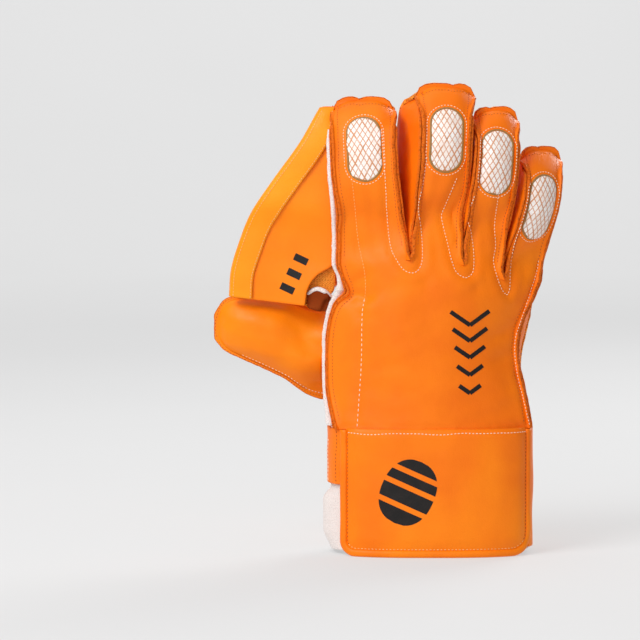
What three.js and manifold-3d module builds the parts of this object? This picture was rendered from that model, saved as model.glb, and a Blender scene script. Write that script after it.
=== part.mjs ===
// A wicketkeeping glove for the right hand, standing on its cuff with the fingers up.
// Millimetres, +Z up. The back of the hand faces -Y, the palm +Y, and the thumb points to -X.
// Every leather piece is a sheet: a grid of points on its inner face, thickened outwards.
import * as THREE from 'three';
import { mergeVertices } from 'three/addons/utils/BufferGeometryUtils.js';
import Module from 'manifold-3d';

const wasm = await Module();
wasm.setup();

// Leather and cloth
const backLeather = 2.0;
const palmLeather = 2.6;
const gussetLeather = 1.3;
const webLeather = 1.7;
const tapeLeather = 1.1;
const cuffLeather = 3.2;
const towelling = 1.6;
const satin = 1.0;
const clearance = 0.35;
const seamAllowance = 3.2;
const slitWidth = 5.0;
const palmSlitWidth = 5.8;
const slitCover = 0.9;
const sideCover = 0.7;

// Cuff
const cuffWidth = 130;
const cuffDepth = 68;
const cuffHeight = 78;
const cuffSquareness = 2.6;
const cuffCentreX = -3;
const cuffCentreY = 1;
const cuffBackLeft = -57;
const cuffBackRight = 56;
const cuffPalmLeft = -56;
const cuffPalmRight = 54;
const rimHeight = 4.2;
const rimWidth = 4.6;
const cornerEase = 12;
const cornerSmall = 5;
const cornerPalm = 8;
const cornerLarge = 10;
const slitHeight = 44;
const liningFoot = 3.2;
const liningTop = 1;
const liningBulge = 5;
const liningBulgeHalf = 16;
const liningBulgeFrom = 12;
const liningBulgeEase = 8;

// Hand
const handLength = 105;
const handDepth = 52;
const handCentreX = 2;
const palmSpread = 132;

// The middle finger's length, and the index finger's width at the knuckle.
const fingerLength = 102;
const fingerWidth = 40;
// Each finger's length as a share of the middle one's. As shares of the finger width: the width of
// its back strip and at the knuckle, its sideways lean, and how far below the tip the middle of its
// window lies. turn is in degrees.
const fingerShares = [
  { name: 'index', length: 0.941, width: 0.9, base: 1, lean: -0.15, turn: -4, window: 0.7 },
  { name: 'middle', length: 1, width: 0.725, base: 0.675, lean: 0.15, turn: 12, window: 0.775 },
  { name: 'ring', length: 0.922, width: 0.65, base: 0.5, lean: 0.225, turn: 22, window: 0.75 },
  { name: 'little', length: 0.755, width: 0.625, base: 0.5, lean: 0.325, turn: 36, window: 0.85 },
];
// The same widths and lean of the palm's face behind each finger.
const palmShares = [
  { name: 'index', width: 0.825, base: 0.95, lean: 0 },
  { name: 'middle', width: 0.95, base: 0.925, lean: 0.075 },
  { name: 'ring', width: 0.5625, base: 0.6, lean: 0.15 },
  { name: 'little', width: 0.5, base: 0.525, lean: 0.1875 },
];
const crown = 3.2;
const tipWidth = 0.7;
const tipSetBack = 24;
const sideBow = 1.5;
const sideStripDepth = 9.5;
const sideStripSplay = 1;
const footReach = 1.5;
const wristSetX = 0.6;
const wristSetY = 2.4;

// Finger windows
const windowLength = 39;
const windowWidth = 19.5;
const satinSet = 0.4;

// Thumb and web
const thumbLength = 74;
const thumbGirth = 54;
const thumbDepth = 36;
const webReach = 61;
const webFoot = 161;
const webHeight = 112;
const webDepth = 9;
const webSplay = 5;
const webSeamX = -67;
const webSeamShare = 0.55;
const tapeWidth = 12.4;
const tapeFold = 2.4;
const stripWidth = 2.6;
const stripDepth = 4.4;
const stripSet = 3.2;
const stripLength = 176;
const crotchCut = 35;
const crotchCutX = -45;
const crotchCutZ = 157;

// The outer edges of the back panel and its crown, from the cuff seam (0) to the knuckles (1).
// left and right are shares of the knuckle width, the others of the hand's depth.
const backRows = [
  { at: 0.0, left: -0.508, right: 0.448, yLeft: -0.33, yRight: -0.23, bulge: 0.29 },
  { at: 0.22, left: -0.543, right: 0.42, yLeft: -0.2, yRight: -0.17, bulge: 0.36 },
  { at: 0.45, left: -0.546, right: 0.384, yLeft: -0.17, yRight: -0.12, bulge: 0.4 },
  { at: 0.6, left: -0.54, right: 0.384, yLeft: -0.19, yRight: -0.1, bulge: 0.4 },
  { at: 0.74, left: -0.51, right: 0.41, yLeft: -0.22, yRight: -0.07, bulge: 0.38 },
  { at: 0.82, left: -0.458, right: 0.437, yLeft: -0.24, yRight: -0.04, bulge: 0.36 },
  { at: 0.9, left: -0.465, right: 0.467, yLeft: -0.26, yRight: 0.0, bulge: 0.35 },
  { at: 1.0, left: -0.495, right: 0.5, yLeft: -0.27, yRight: 0.08, bulge: 0.33 },
];
// How high the knuckle line lies across the back, as shares of the hand's length.
const knuckleLine = [
  { at: 0, rise: 0.96 },
  { at: 0.36, rise: 1.03 },
  { at: 0.6, rise: 1.0 },
  { at: 0.84, rise: 0.9 },
  { at: 1, rise: 0.86 },
];
// The same for the palm, whose fingers part higher up. left and right are shares of its spread.
const palmRows = [
  { at: 0.0, left: -0.485, right: 0.4, yLeft: 0.27, yRight: 0.33, bulge: 0.3 },
  { at: 0.17, left: -0.47, right: 0.385, yLeft: 0.5, yRight: 0.33, bulge: 0.24 },
  { at: 0.33, left: -0.465, right: 0.37, yLeft: 0.58, yRight: 0.32, bulge: 0.17 },
  { at: 0.5, left: -0.465, right: 0.38, yLeft: 0.58, yRight: 0.32, bulge: 0.12 },
  { at: 0.67, left: -0.46, right: 0.41, yLeft: 0.44, yRight: 0.34, bulge: 0.1 },
  { at: 0.8, left: -0.455, right: 0.43, yLeft: 0.25, yRight: 0.38, bulge: 0.06 },
  { at: 0.9, left: -0.47, right: 0.44, yLeft: 0.18, yRight: 0.44, bulge: 0.02 },
  { at: 1.0, left: -0.485, right: 0.455, yLeft: 0.16, yRight: 0.5, bulge: -0.04 },
];
const palmKnuckleLine = [
  { at: 0, rise: 0.98 },
  { at: 0.3, rise: 1.3 },
  { at: 0.6, rise: 1.28 },
  { at: 0.84, rise: 1.16 },
  { at: 1, rise: 0.88 },
];
// Along a finger: share of its lean, how far its back and its palm face are set towards the palm
// as shares of the hand's depth, and the share of the change from the knuckle's width to its own.
const fingerRows = [
  { at: 0, lean: 0, set: 0, fill: 0, full: 0 },
  { at: 0.15, lean: 0.1, set: 0.065, fill: -0.03, full: 0.5 },
  { at: 0.35, lean: 0.42, set: 0.025, fill: -0.06, full: 1 },
  { at: 0.55, lean: 0.78, set: 0.01, fill: -0.06, full: 1 },
  { at: 0.75, lean: 0.96, set: 0.06, fill: -0.06, full: 0.95 },
  { at: 1, lean: 1, set: 0.15, fill: -0.05, full: 0.85 },
];
// Along the thumb: low and high edge as shares of its girth, and depths as shares of its depth.
const thumbRows = [
  { at: 0, low: 0.0, high: 1.0, seam: 0.4, back: -0.02, palm: 0.86 },
  { at: 0.2, low: 0.1, high: 1.03, seam: 0.44, back: 0.03, palm: 0.98 },
  { at: 0.4, low: 0.235, high: 1.06, seam: 0.47, back: 0.06, palm: 1.02 },
  { at: 0.6, low: 0.365, high: 1.09, seam: 0.5, back: 0.12, palm: 1.0 },
  { at: 0.8, low: 0.485, high: 1.1, seam: 0.53, back: 0.22, palm: 0.93 },
  { at: 0.93, low: 0.57, high: 1.06, seam: 0.56, back: 0.39, palm: 0.76 },
  { at: 1, low: 0.68, high: 0.92, seam: 0.58, back: 0.575, palm: 0.59 },
];
// The free edge of the web from its foot (0) to the index tip (1).
const webRows = [
  { at: 0, out: 1.0, rise: 0.0 },
  { at: 0.13, out: 0.99, rise: 0.12 },
  { at: 0.27, out: 0.92, rise: 0.26 },
  { at: 0.43, out: 0.78, rise: 0.43 },
  { at: 0.6, out: 0.56, rise: 0.6 },
  { at: 0.78, out: 0.32, rise: 0.78 },
  { at: 1, out: 0.07, rise: 1.0 },
];
// The web's other edge: the arch at its foot, then the seam up the index finger.
const webInner = [
  { at: 0, out: 0.22, rise: -0.07 },
  { at: 0.09, out: 0.19, rise: 0.02 },
  { at: 0.18, out: 0.11, rise: 0.1 },
  { at: 0.27, out: 0.0, rise: 0.17 },
  { at: 0.5, out: 0.0, rise: 0.46 },
  { at: 1, out: 0.0, rise: 1.0 },
];
// Across a cuff panel: where its columns stand, close together at the rounded corners.
const cuffColumns = [
  0, 0.012, 0.035, 0.07, 0.115, 0.17, 0.25, 0.33, 0.42, 0.5,
  0.58, 0.67, 0.75, 0.83, 0.885, 0.93, 0.965, 0.988, 1,
];
// Along the towelling strip: where its rings stand, close together at the crotch.
const stripShares = [
  0, 0.07, 0.15, 0.23, 0.31, 0.37, 0.4, 0.43, 0.46, 0.5, 0.55, 0.6, 0.7, 0.81, 0.91, 1,
];
// The cut in the palm at the thumb's crotch, as shares of its size.
const crotchCorners = [[-0.54, 0.06], [-0.26, 0.48], [0.46, -0.15], [-0.11, -0.46]];

const HAND_STEPS = 12;
const THUMB_FIRST_STEP = 2;
const THUMB_LAST_STEP = 8;
const STRIP_STEPS = 3;
const FINGER_STEPS = [0.09, 0.2, 0.35, 0.53, 0.7, 0.82, 0.91, 0.97, 1];
const THUMB_STEPS = [0.07, 0.16, 0.28, 0.42, 0.57, 0.72, 0.84, 0.93, 0.975, 1];
const WEB_STEPS = 12;
const ROUNDING_FROM = 0.6;
const TAPER_FROM = 0.82;
const EDGE_POWER = 2.6;
const ARCH_POWER = 2.4;
const SIDE_LEAN = 0.45;
const SLIT_LEAN = 0.06;
const TIP_TURN = 0.6;
const SHARPEST_FOLD = 0.68;
const SMALLEST_STEP = 0.05;

const { lerp, degToRad, clamp, smoothstep } = THREE.MathUtils;
const point = (x, y, z) => new THREE.Vector3(x, y, z);
const mix = (a, b, t) => a.clone().lerp(b, t);
const last = (list) => list[list.length - 1];
const seamZ = cuffHeight + clearance;
const sum = (list) => list.reduce((a, b) => a + b, 0);
const rowWidth = (list, slit) => sum(list.map((f) => f.base)) + slit * (list.length - 1);
const sized = (rows) => rows.map(({ name, length, width, base, lean, turn, window }) => ({
  name,
  turn,
  length: length * fingerLength,
  width: width * fingerWidth,
  base: base * fingerWidth,
  lean: lean * fingerWidth,
  window: window * fingerWidth,
}));
const fingers = sized(fingerShares);
const palmFingers = sized(palmShares);
const knuckleWidth = rowWidth(fingers, slitWidth);
const steps = (count, from = 0, to = 1) => (
  Array.from({ length: count + 1 }, (_, i) => lerp(from, to, i / count)));

// A table's column at any place between its rows, as a smooth curve.
function read(rows, name, at) {
  const t = clamp(at, rows[0].at, last(rows).at);
  let i = 0;
  while (i < rows.length - 2 && t > rows[i + 1].at) i += 1;
  const slope = (k) => {
    const a = rows[Math.max(k - 1, 0)];
    const b = rows[Math.min(k + 1, rows.length - 1)];
    return (b[name] - a[name]) / (b.at - a.at);
  };
  const width = rows[i + 1].at - rows[i].at;
  const u = (t - rows[i].at) / width;
  const h = (3 - 2 * u) * u * u;
  return rows[i][name] * (1 - h) + rows[i + 1][name] * h
    + width * u * (1 - u) * ((1 - u) * slope(i) - u * slope(i + 1));
}

// Where each finger's strip begins and ends across the hand, as shares of the width.
function shares(list, slit) {
  const total = rowWidth(list, slit);
  let x = 0;
  return list.map(({ base }) => {
    const from = x / total;
    x += base + slit;
    return [from, (x - slit) / total];
  });
}
const backSpans = shares(fingers, slitWidth);
const palmSpans = shares(palmFingers, palmSlitWidth);

// A point of the hand's back or palm: q across from the thumb side, v up from the cuff seam.
function handPoint(q, v, rows, line, width, side) {
  const x = handCentreX + width * lerp(read(rows, 'left', v), read(rows, 'right', v), q);
  const edge = lerp(read(rows, 'yLeft', v), read(rows, 'yRight', v), q);
  const arch = read(rows, 'bulge', v) * (1 - Math.abs(2 * q - 1) ** ARCH_POWER);
  return point(x, handDepth * (edge + side * arch), seamZ + handLength * read(line, 'rise', q) * v);
}
const backHand = (q, v) => handPoint(q, v, backRows, knuckleLine, knuckleWidth, -1);
const palmHand = (q, v) => handPoint(q, v, palmRows, palmKnuckleLine, palmSpread, 1);

// How far the finger still keeps its depth: 1 along its body, 0 at the tip seam.
function roundness(f) {
  const end = clamp((f - ROUNDING_FROM) / (1 - ROUNDING_FROM), 0, 1);
  return (1 - end ** EDGE_POWER) ** 0.55;
}

// A point of a finger's back strip or palm face: s across, f from the knuckle to the tip.
function fingerPoint(i, s, f, palm) {
  const finger = fingers[i];
  const own = palm ? palmFingers[i] : finger;
  const surface = palm ? palmHand : backHand;
  const [left, right] = (palm ? palmSpans : backSpans)[i].map((q) => surface(q, 1));
  const root = mix(left, right, 0.5);
  const tipRoot = mix(backHand(backSpans[i][0], 1), backHand(backSpans[i][1], 1), 0.5);
  const round = roundness(f);
  const full = read(fingerRows, 'full', f);
  const baseTurn = Math.atan2(right.y - left.y, right.x - left.x);
  const bodyTurn = lerp(baseTurn, degToRad(palm ? finger.turn / 2 : finger.turn), full);
  const turn = lerp(degToRad(finger.turn * TIP_TURN), bodyTurn, round);
  const bodyWidth = lerp(Math.hypot(right.x - left.x, right.y - left.y), own.width, full);
  const tipSpan = (finger.width + palmFingers[i].width) / 2;
  const taper = 1 - (1 - tipWidth) * clamp((f - TAPER_FROM) / (1 - TAPER_FROM), 0, 1) ** EDGE_POWER;
  const half = lerp(tipSpan, bodyWidth, round) * taper / 2;
  const set = handDepth * read(fingerRows, palm ? 'fill' : 'set', f);
  const x = lerp(tipRoot.x + finger.lean, root.x + own.lean * read(fingerRows, 'lean', f), round);
  const y = lerp(tipRoot.y + tipSetBack + (palm ? clearance : 0), root.y + set, round);
  const z = lerp(lerp(left.z, right.z, (s + 1) / 2), tipRoot.z + finger.length, f);
  const bow = crown * (palm ? -0.6 : 1) * smoothstep(f, 0, 0.3) * round * (1 - s * s);
  return point(
    x + Math.cos(turn) * half * s + Math.sin(turn) * bow,
    y + Math.sin(turn) * half * s - Math.cos(turn) * bow,
    z,
  );
}

// A sheet is a list of points and of quads, seen counterclockwise from outside.
function vertexNormals({ points, quads }) {
  const normals = points.map(() => point(0, 0, 0));
  for (const quad of quads) {
    const [a, b, c, d] = quad.map((k) => points[k]);
    const n = c.clone().sub(a).cross(d.clone().sub(b));
    for (const k of quad) normals[k].add(n);
  }
  return normals.map((n) => n.normalize());
}

// Carries a sheet's edge on along a path of its points, in the sheet (over) or up from it (up).
// flat presses the direction into the plane in which two sheets meet face to face.
function addFlange(sheet, path, shape) {
  const normals = vertexNormals(sheet);
  sheet.seams ??= new Map();
  const legs = path.slice(1)
    .map((k, i) => sheet.points[k].clone().sub(sheet.points[path[i]]).normalize());
  const outer = path.map((k, i) => {
    const along = legs[Math.max(i - 1, 0)].clone().add(legs[Math.min(i, legs.length - 1)]);
    const out = along.cross(normals[k]).normalize();
    const { over, up, height, flat, plane } = shape(i);
    const press = (v) => v.addScaledVector(plane, -flat * v.dot(plane)).normalize();
    press(out);
    const way = press(out.clone().multiplyScalar(over).addScaledVector(normals[k], up));
    sheet.seams.set(k, { out, way, normal: normals[k] });
    return sheet.points.push(sheet.points[k].clone().addScaledVector(way, height)) - 1;
  });
  for (let i = 0; i + 1 < path.length; i += 1) {
    sheet.quads.push([path[i + 1], path[i], outer[i], outer[i + 1]]);
  }
}

// Keeps a sheet's foot level where it stands on the cuff.
function levelFoot(sheet) {
  sheet.offsets ??= new Map();
  vertexNormals(sheet).forEach((n, k) => {
    if (sheet.points[k].z > seamZ + footReach) return;
    sheet.points[k].z = seamZ;
    sheet.offsets.set(k, n.setZ(0).normalize());
  });
}

// The closed solid of a sheet: its inner face, the same moved out along the normals, and the rim.
// Where the sheet folds, the offset grows so that both faces keep the thickness. offsets holds
// the way out of single points whose outer face has to stay in a neighbour's plane.
function thicken(sheet, thickness, lift = 0) {
  const normals = vertexNormals(sheet);
  const fold = normals.map(() => 1);
  for (const quad of sheet.quads) {
    const [a, b, c, d] = quad.map((k) => sheet.points[k]);
    const n = c.clone().sub(a).cross(d.clone().sub(b)).normalize();
    for (const k of quad) fold[k] = Math.min(fold[k], n.dot(normals[k]));
  }
  const move = (distance) => sheet.points.map((p, k) => {
    const way = sheet.offsets?.get(k)
      ?? normals[k].clone().divideScalar(Math.max(fold[k], SHARPEST_FOLD));
    return p.clone().addScaledVector(way, distance);
  });
  const inner = move(lift);
  const outer = move(lift + thickness);
  const count = inner.length;
  const faces = [];
  const edges = new Map();
  for (const [a, b, c, d] of sheet.quads) {
    faces.push([count + a, count + b, count + c], [count + a, count + c, count + d]);
    faces.push([a, c, b], [a, d, c]);
    for (const [m, n] of [[a, b], [b, c], [c, d], [d, a]]) edges.set(`${m} ${n}`, [m, n]);
  }
  for (const [m, n] of edges.values()) {
    if (!edges.has(`${n} ${m}`)) faces.push([m, n, count + n], [m, count + n, count + m]);
  }
  return solidGeometry([...inner, ...outer], faces);
}

function solidGeometry(points, faces) {
  const geometry = new THREE.BufferGeometry();
  const values = points.flatMap((p) => p.toArray());
  geometry.setAttribute('position', new THREE.Float32BufferAttribute(values, 3));
  geometry.setIndex(faces.flat());
  return geometry;
}

// A grid sheet of rows times columns from a function; outside faces -Y unless turned.
function gridSheet(rows, columns, at, turned = false) {
  const points = [];
  const quads = [];
  rows.forEach((v, j) => columns.forEach((u, i) => {
    points.push(at(u, v));
    if (!i || !j) return;
    const k = j * columns.length + i;
    const quad = [k - columns.length - 1, k - columns.length, k, k - 1];
    quads.push(turned ? quad.reverse() : quad);
  }));
  return { points, quads };
}

// Joins the last column of a grid of so many columns to its first.
function closeRound({ points, quads }, columns) {
  const kept = points.map((_, k) => (k % columns === columns - 1 ? k - columns + 1 : k));
  return { points, quads: quads.map((quad) => quad.map((k) => kept[k])) };
}

// A closed solid through rings of points, capped at both ends.
function loft(rings) {
  const n = rings[0].length;
  const faces = [];
  for (let j = 0; j + 1 < rings.length; j += 1) {
    for (let i = 0; i < n; i += 1) {
      const [a, b] = [j * n + i, j * n + (i + 1) % n];
      faces.push([a, b, b + n], [a, b + n, a + n]);
    }
  }
  const end = (rings.length - 1) * n;
  for (let i = 1; i + 1 < n; i += 1) faces.push([0, i + 1, i], [end, end + i, end + i + 1]);
  return solidGeometry(rings.flat(), faces);
}

function toManifold(geometry) {
  const bare = geometry.clone();
  bare.deleteAttribute('normal');
  bare.deleteAttribute('uv');
  const merged = mergeVertices(bare, 1e-4);
  return new wasm.Manifold(new wasm.Mesh({
    numProp: 3,
    vertProperties: merged.attributes.position.array,
    triVerts: new Uint32Array(merged.index.array),
  }));
}

function fromManifold(solid) {
  const mesh = solid.simplify(SMALLEST_STEP).getMesh();
  const geometry = new THREE.BufferGeometry();
  geometry.setAttribute('position', new THREE.BufferAttribute(mesh.vertProperties, 3));
  geometry.setIndex(new THREE.BufferAttribute(mesh.triVerts, 1));
  return geometry;
}

// The back or palm sheet: the hand's rows, and a strip for each finger that grows out of them.
function handSheet(palm) {
  const sheet = { points: [], quads: [], hand: [], strips: [] };
  const surface = palm ? palmHand : backHand;
  const across = steps(STRIP_STEPS, -1, 1);
  const columns = (palm ? palmSpans : backSpans)
    .flatMap(([a, b]) => across.map((s) => lerp(a, b, (s + 1) / 2)));
  const add = (p) => sheet.points.push(p) - 1;
  const face = (a, b, c, d) => sheet.quads.push(palm ? [d, c, b, a] : [a, b, c, d]);
  const join = (low, high) => {
    for (let i = 0; i + 1 < low.length; i += 1) face(low[i], low[i + 1], high[i + 1], high[i]);
  };
  for (const v of steps(HAND_STEPS)) sheet.hand.push(columns.map((q) => add(surface(q, v))));
  for (let j = 0; j < HAND_STEPS; j += 1) join(sheet.hand[j], sheet.hand[j + 1]);
  fingers.forEach((_, i) => {
    const first = i * across.length;
    const rows = [last(sheet.hand).slice(first, first + across.length)];
    for (const f of FINGER_STEPS) rows.push(across.map((s) => add(fingerPoint(i, s, f, palm))));
    for (let j = 0; j + 1 < rows.length; j += 1) join(rows[j], rows[j + 1]);
    sheet.strips.push(rows);
  });
  return sheet;
}

// The free edge from the little finger's side over all the fingertips to the thumb side. Each
// entry holds the point's index, its finger, its place on it (f, 0 on the hand) and whether it
// lies on the glove's outer side and not beside a slit.
function freeEdge(sheet) {
  const path = [];
  const heights = [0, ...FINGER_STEPS];
  const [first, end] = [0, fingers.length - 1];
  for (let j = 0; j < HAND_STEPS; j += 1) {
    path.push({ k: last(sheet.hand[j]), f: 0, finger: end, outer: true });
  }
  for (let i = end; i >= 0; i -= 1) {
    const rows = sheet.strips[i];
    rows.forEach((row, j) => path.push({ k: last(row), f: heights[j], finger: i, outer: i === end }));
    last(rows).slice(1, -1).reverse().forEach((k) => path.push({ k, f: 1, finger: i, outer: true }));
    for (let j = rows.length - 1; j >= 0; j -= 1) {
      path.push({ k: rows[j][0], f: heights[j], finger: i, outer: i === first });
    }
  }
  for (let j = HAND_STEPS - 1; j >= 0; j -= 1) {
    path.push({ k: sheet.hand[j][0], f: 0, finger: first, outer: true });
  }
  return path;
}

// The plane in which the back and the palm meet at a finger's tip.
function tipPlane(i) {
  const turn = degToRad(fingers[i].turn * TIP_TURN);
  return point(-Math.sin(turn), Math.cos(turn), 0);
}
// How a seam rib stands: straight up beside a slit, leaning out along the sides, flat at a tip.
function ribShape({ f, finger, outer }) {
  const flat = 1 - roundness(f);
  const over = lerp(outer ? SIDE_LEAN : SLIT_LEAN, 1, flat);
  return { over, up: lerp(1, SLIT_LEAN, flat), height: seamAllowance, flat, plane: tipPlane(finger) };
}
// The palm sheet covers the edge of the gusset below it, and at a tip the back's rib.
function coverShape({ f, finger, outer }) {
  const flat = 1 - roundness(f);
  const cover = outer ? clearance + gussetLeather + sideCover : slitCover;
  return { over: 1, up: 0, height: lerp(cover, seamAllowance, flat), flat, plane: tipPlane(finger) };
}
const flatSeam = { over: 1, up: 0, height: seamAllowance, flat: 1, plane: point(0, 1, 0) };

const backSheet = handSheet(false);
const backEdge = freeEdge(backSheet);
addFlange(backSheet, backEdge.map((e) => e.k), (i) => ribShape(backEdge[i]));
levelFoot(backSheet);

// The thumb: a from the hand to its tip, s from its low edge (-1) to its high edge (1).
const thumbShare = (s) => lerp(THUMB_FIRST_STEP, THUMB_LAST_STEP, (s + 1) / 2) / HAND_STEPS;
const thumbRoot = palmHand(0, thumbShare(-1));
function thumbPoint(a, s, palm) {
  const root = palmHand(0, thumbShare(s));
  const edge = palmHand(0, thumbShare(Math.sign(s) || 1));
  const free = smoothstep(a, 0, 0.45);
  const low = read(thumbRows, 'low', a);
  const high = read(thumbRows, 'high', a);
  const z = thumbRoot.z + thumbGirth * lerp(low, high, (s + 1) / 2);
  const seam = thumbDepth * read(thumbRows, 'seam', a);
  const fill = 1 - Math.abs(s) ** EDGE_POWER;
  const x = thumbRoot.x - thumbLength * a;
  if (palm) {
    const y = lerp(seam, thumbDepth * read(thumbRows, 'palm', a), fill);
    return point(x, lerp(root.y, y, free), lerp(root.z, z, free));
  }
  const edgeY = lerp(edge.y, seam, free) - 1.3 * clearance;
  const y = lerp(edgeY, thumbDepth * read(thumbRows, 'back', a), fill);
  return point(x, y, lerp(root.z, z, free));
}

const palmSheet = handSheet(true);
const palmThumb = [];
for (let j = THUMB_FIRST_STEP; j <= THUMB_LAST_STEP; j += 1) {
  const s = lerp(-1, 1, (j - THUMB_FIRST_STEP) / (THUMB_LAST_STEP - THUMB_FIRST_STEP));
  const row = [palmSheet.hand[j][0]];
  for (const a of THUMB_STEPS) row.push(palmSheet.points.push(thumbPoint(a, s, true)) - 1);
  palmThumb.push(row);
}
for (let j = 0; j + 1 < palmThumb.length; j += 1) {
  for (let i = 0; i < THUMB_STEPS.length; i += 1) {
    const [low, high] = [palmThumb[j], palmThumb[j + 1]];
    palmSheet.quads.push([low[i], low[i + 1], high[i + 1], high[i]]);
  }
}
const palmEdge = freeEdge(palmSheet).filter((e) => {
  const j = palmSheet.hand.findIndex((row) => row[0] === e.k);
  return j < 0 || j >= THUMB_LAST_STEP || j <= THUMB_FIRST_STEP;
});
const thumbEdge = [
  ...last(palmThumb).slice(1),
  ...palmThumb.slice(1, -1).reverse().map((row) => last(row)),
  ...palmThumb[0].slice(1).reverse(),
].map((k) => ({ k, thumb: true }));
for (const e of palmEdge) e.thumb = e.k === palmThumb[0][0] || e.k === last(palmThumb)[0];
const split = palmEdge.findIndex((e) => e.k === palmThumb[0][0]);
const palmPath = [...palmEdge.slice(0, split), ...thumbEdge, ...palmEdge.slice(split)].reverse();
addFlange(palmSheet, palmPath.map((e) => e.k), (i) => (
  palmPath[i].thumb ? flatSeam : coverShape(palmPath[i])));
levelFoot(palmSheet);

// A gusset: a strip from the back panel's seam to the palm's edge, with its own upturned seam.
const gussetColumns = [-1, ...steps(3)];
function gusset(rows) {
  const sheet = gridSheet(rows, gussetColumns, (d, { p, way, end, out, bow }) => {
    if (d < 0) return p.clone().addScaledVector(way, seamAllowance);
    return mix(p, end, d).addScaledVector(out, bow * 4 * d * (1 - d));
  });
  sheet.offsets = new Map();
  rows.forEach(({ cover }, j) => {
    if (cover) sheet.offsets.set(gussetColumns.length * (j + 1) - 1, cover);
  });
  levelFoot(sheet);
  return sheet;
}

// The row of a gusset at matching points of the two panels' edges. With no palm point it is the
// narrow strip beside the thumb.
function gussetRow(backKey, palmKey, bow = 0) {
  const { out, way, normal } = backSheet.seams.get(backKey);
  const p = backSheet.points[backKey].clone()
    .addScaledVector(out, clearance).addScaledVector(normal, -clearance);
  if (palmKey === null) {
    return { p, out, way, end: p.clone().add(point(sideStripSplay, sideStripDepth, 0)), bow };
  }
  const cover = palmSheet.seams.get(palmKey);
  const end = palmSheet.points[palmKey].clone()
    .addScaledVector(cover.out, clearance).addScaledVector(cover.normal, -clearance);
  return { p, out, way, end, bow, cover: cover.out };
}
// The rows beside one edge of a finger, from the knuckle to just below the tip.
function legRows(i, side, bow = 0) {
  const pick = (row) => (side > 0 ? last(row) : row[0]);
  return FINGER_STEPS.map((_, j) => gussetRow(
    pick(backSheet.strips[i][j]), pick(palmSheet.strips[i][j]), bow));
}

const parts = new Map();

for (let i = 0; i + 1 < fingers.length; i += 1) {
  const rows = [...legRows(i + 1, -1).reverse(), ...legRows(i, 1)];
  const name = `gusset_${fingers[i].name}_${fingers[i + 1].name}`;
  parts.set(name, thicken(gusset(rows), gussetLeather));
}

const handLevels = Array.from({ length: HAND_STEPS }, (_, j) => j);
const littleSide = [
  ...handLevels.map((j) => gussetRow(last(backSheet.hand[j]), last(palmSheet.hand[j]), sideBow)),
  ...legRows(fingers.length - 1, 1, sideBow),
];
parts.set('side_gusset_little', thicken(gusset(littleSide), gussetLeather));

// The thumb side: a narrow strip beside the thumb, and above it the side of the index finger.
const indexSide = [
  ...handLevels.map((j) => (
    gussetRow(backSheet.hand[j][0], j > THUMB_LAST_STEP ? palmSheet.hand[j][0] : null))),
  ...legRows(0, -1),
];
const sideSheet = gusset([...indexSide].reverse());
parts.set('side_gusset_index', thicken(sideSheet, gussetLeather));

// A line along the outside of the thumb-side strip: across it as a share, or from 1 up in
// millimetres, and offset away from it.
function sideAt(z, share, offset) {
  const line = indexSide.map(({ p, end, out }) => {
    const across = share < 1 ? share : share / p.distanceTo(end);
    return mix(p, end, across).addScaledVector(out, offset);
  });
  let i = 0;
  while (i < line.length - 2 && line[i + 1].z < z) i += 1;
  return mix(line[i], line[i + 1], (z - line[i].z) / (line[i + 1].z - line[i].z));
}

// The thumb's back.
const thumbColumns = [...THUMB_STEPS].reverse();
const thumbLines = steps(THUMB_LAST_STEP - THUMB_FIRST_STEP, -1, 1);
const thumbSheet = gridSheet(thumbLines, thumbColumns, (a, s) => thumbPoint(a, s, false));
const thumbSeam = [
  ...thumbColumns.map((_, i) => (thumbLines.length - 1) * thumbColumns.length + i).reverse(),
  ...thumbLines.slice(1, -1).map((_, j) => (j + 1) * thumbColumns.length).reverse(),
  ...thumbColumns.map((_, i) => i),
];
addFlange(thumbSheet, thumbSeam, () => flatSeam);
parts.set('thumb_back', thicken(thumbSheet, backLeather));

// The web between index finger and thumb: u from its free edge to the index finger, w upwards.
const archTop = webInner.find((row) => row.out === 0).rise;
function webInnerEdge(w) {
  const z = webFoot + webHeight * read(webInner, 'rise', w);
  const seamZ = Math.max(z, webFoot + webHeight * archTop);
  const seam = sideAt(seamZ, webSeamShare, gussetLeather + 2.4 * clearance);
  return point(seam.x - webReach * read(webInner, 'out', w), seam.y, z);
}
function webPoint(u, w, depth = 0) {
  const inner = webInnerEdge(w);
  const rise = read(webRows, 'rise', w);
  const outer = point(
    webSeamX - webReach * read(webRows, 'out', w),
    inner.y + webDepth * (1 - rise) ** 0.7,
    webFoot + webHeight * rise,
  );
  return mix(outer, inner, u).add(point(0, depth, 0));
}
// How steep the free edge is, and how much of a row the tape along it covers.
function tapeShare(w) {
  const step = webPoint(0, Math.min(w + 0.04, 1)).sub(webPoint(0, Math.max(w - 0.04, 0)));
  const slope = Math.max(Math.abs(step.z) / step.length(), 0.55);
  return Math.min(1, tapeWidth / slope / webPoint(0, w).distanceTo(webPoint(1, w)));
}
const webLevels = [...steps(WEB_STEPS).slice(0, -1), 0.965];
const webColumns = [0, 0.5, 1, 1.5, 2];
const webAcross = (c, w) => {
  const tape = Math.min(tapeShare(w), 0.7);
  return c <= 1 ? c * tape : lerp(tape, 1, c - 1);
};
const webBack = gridSheet(webLevels, webColumns, (c, w) => webPoint(webAcross(c, w), w));
parts.set('web_back', thicken(webBack, webLeather));

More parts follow.
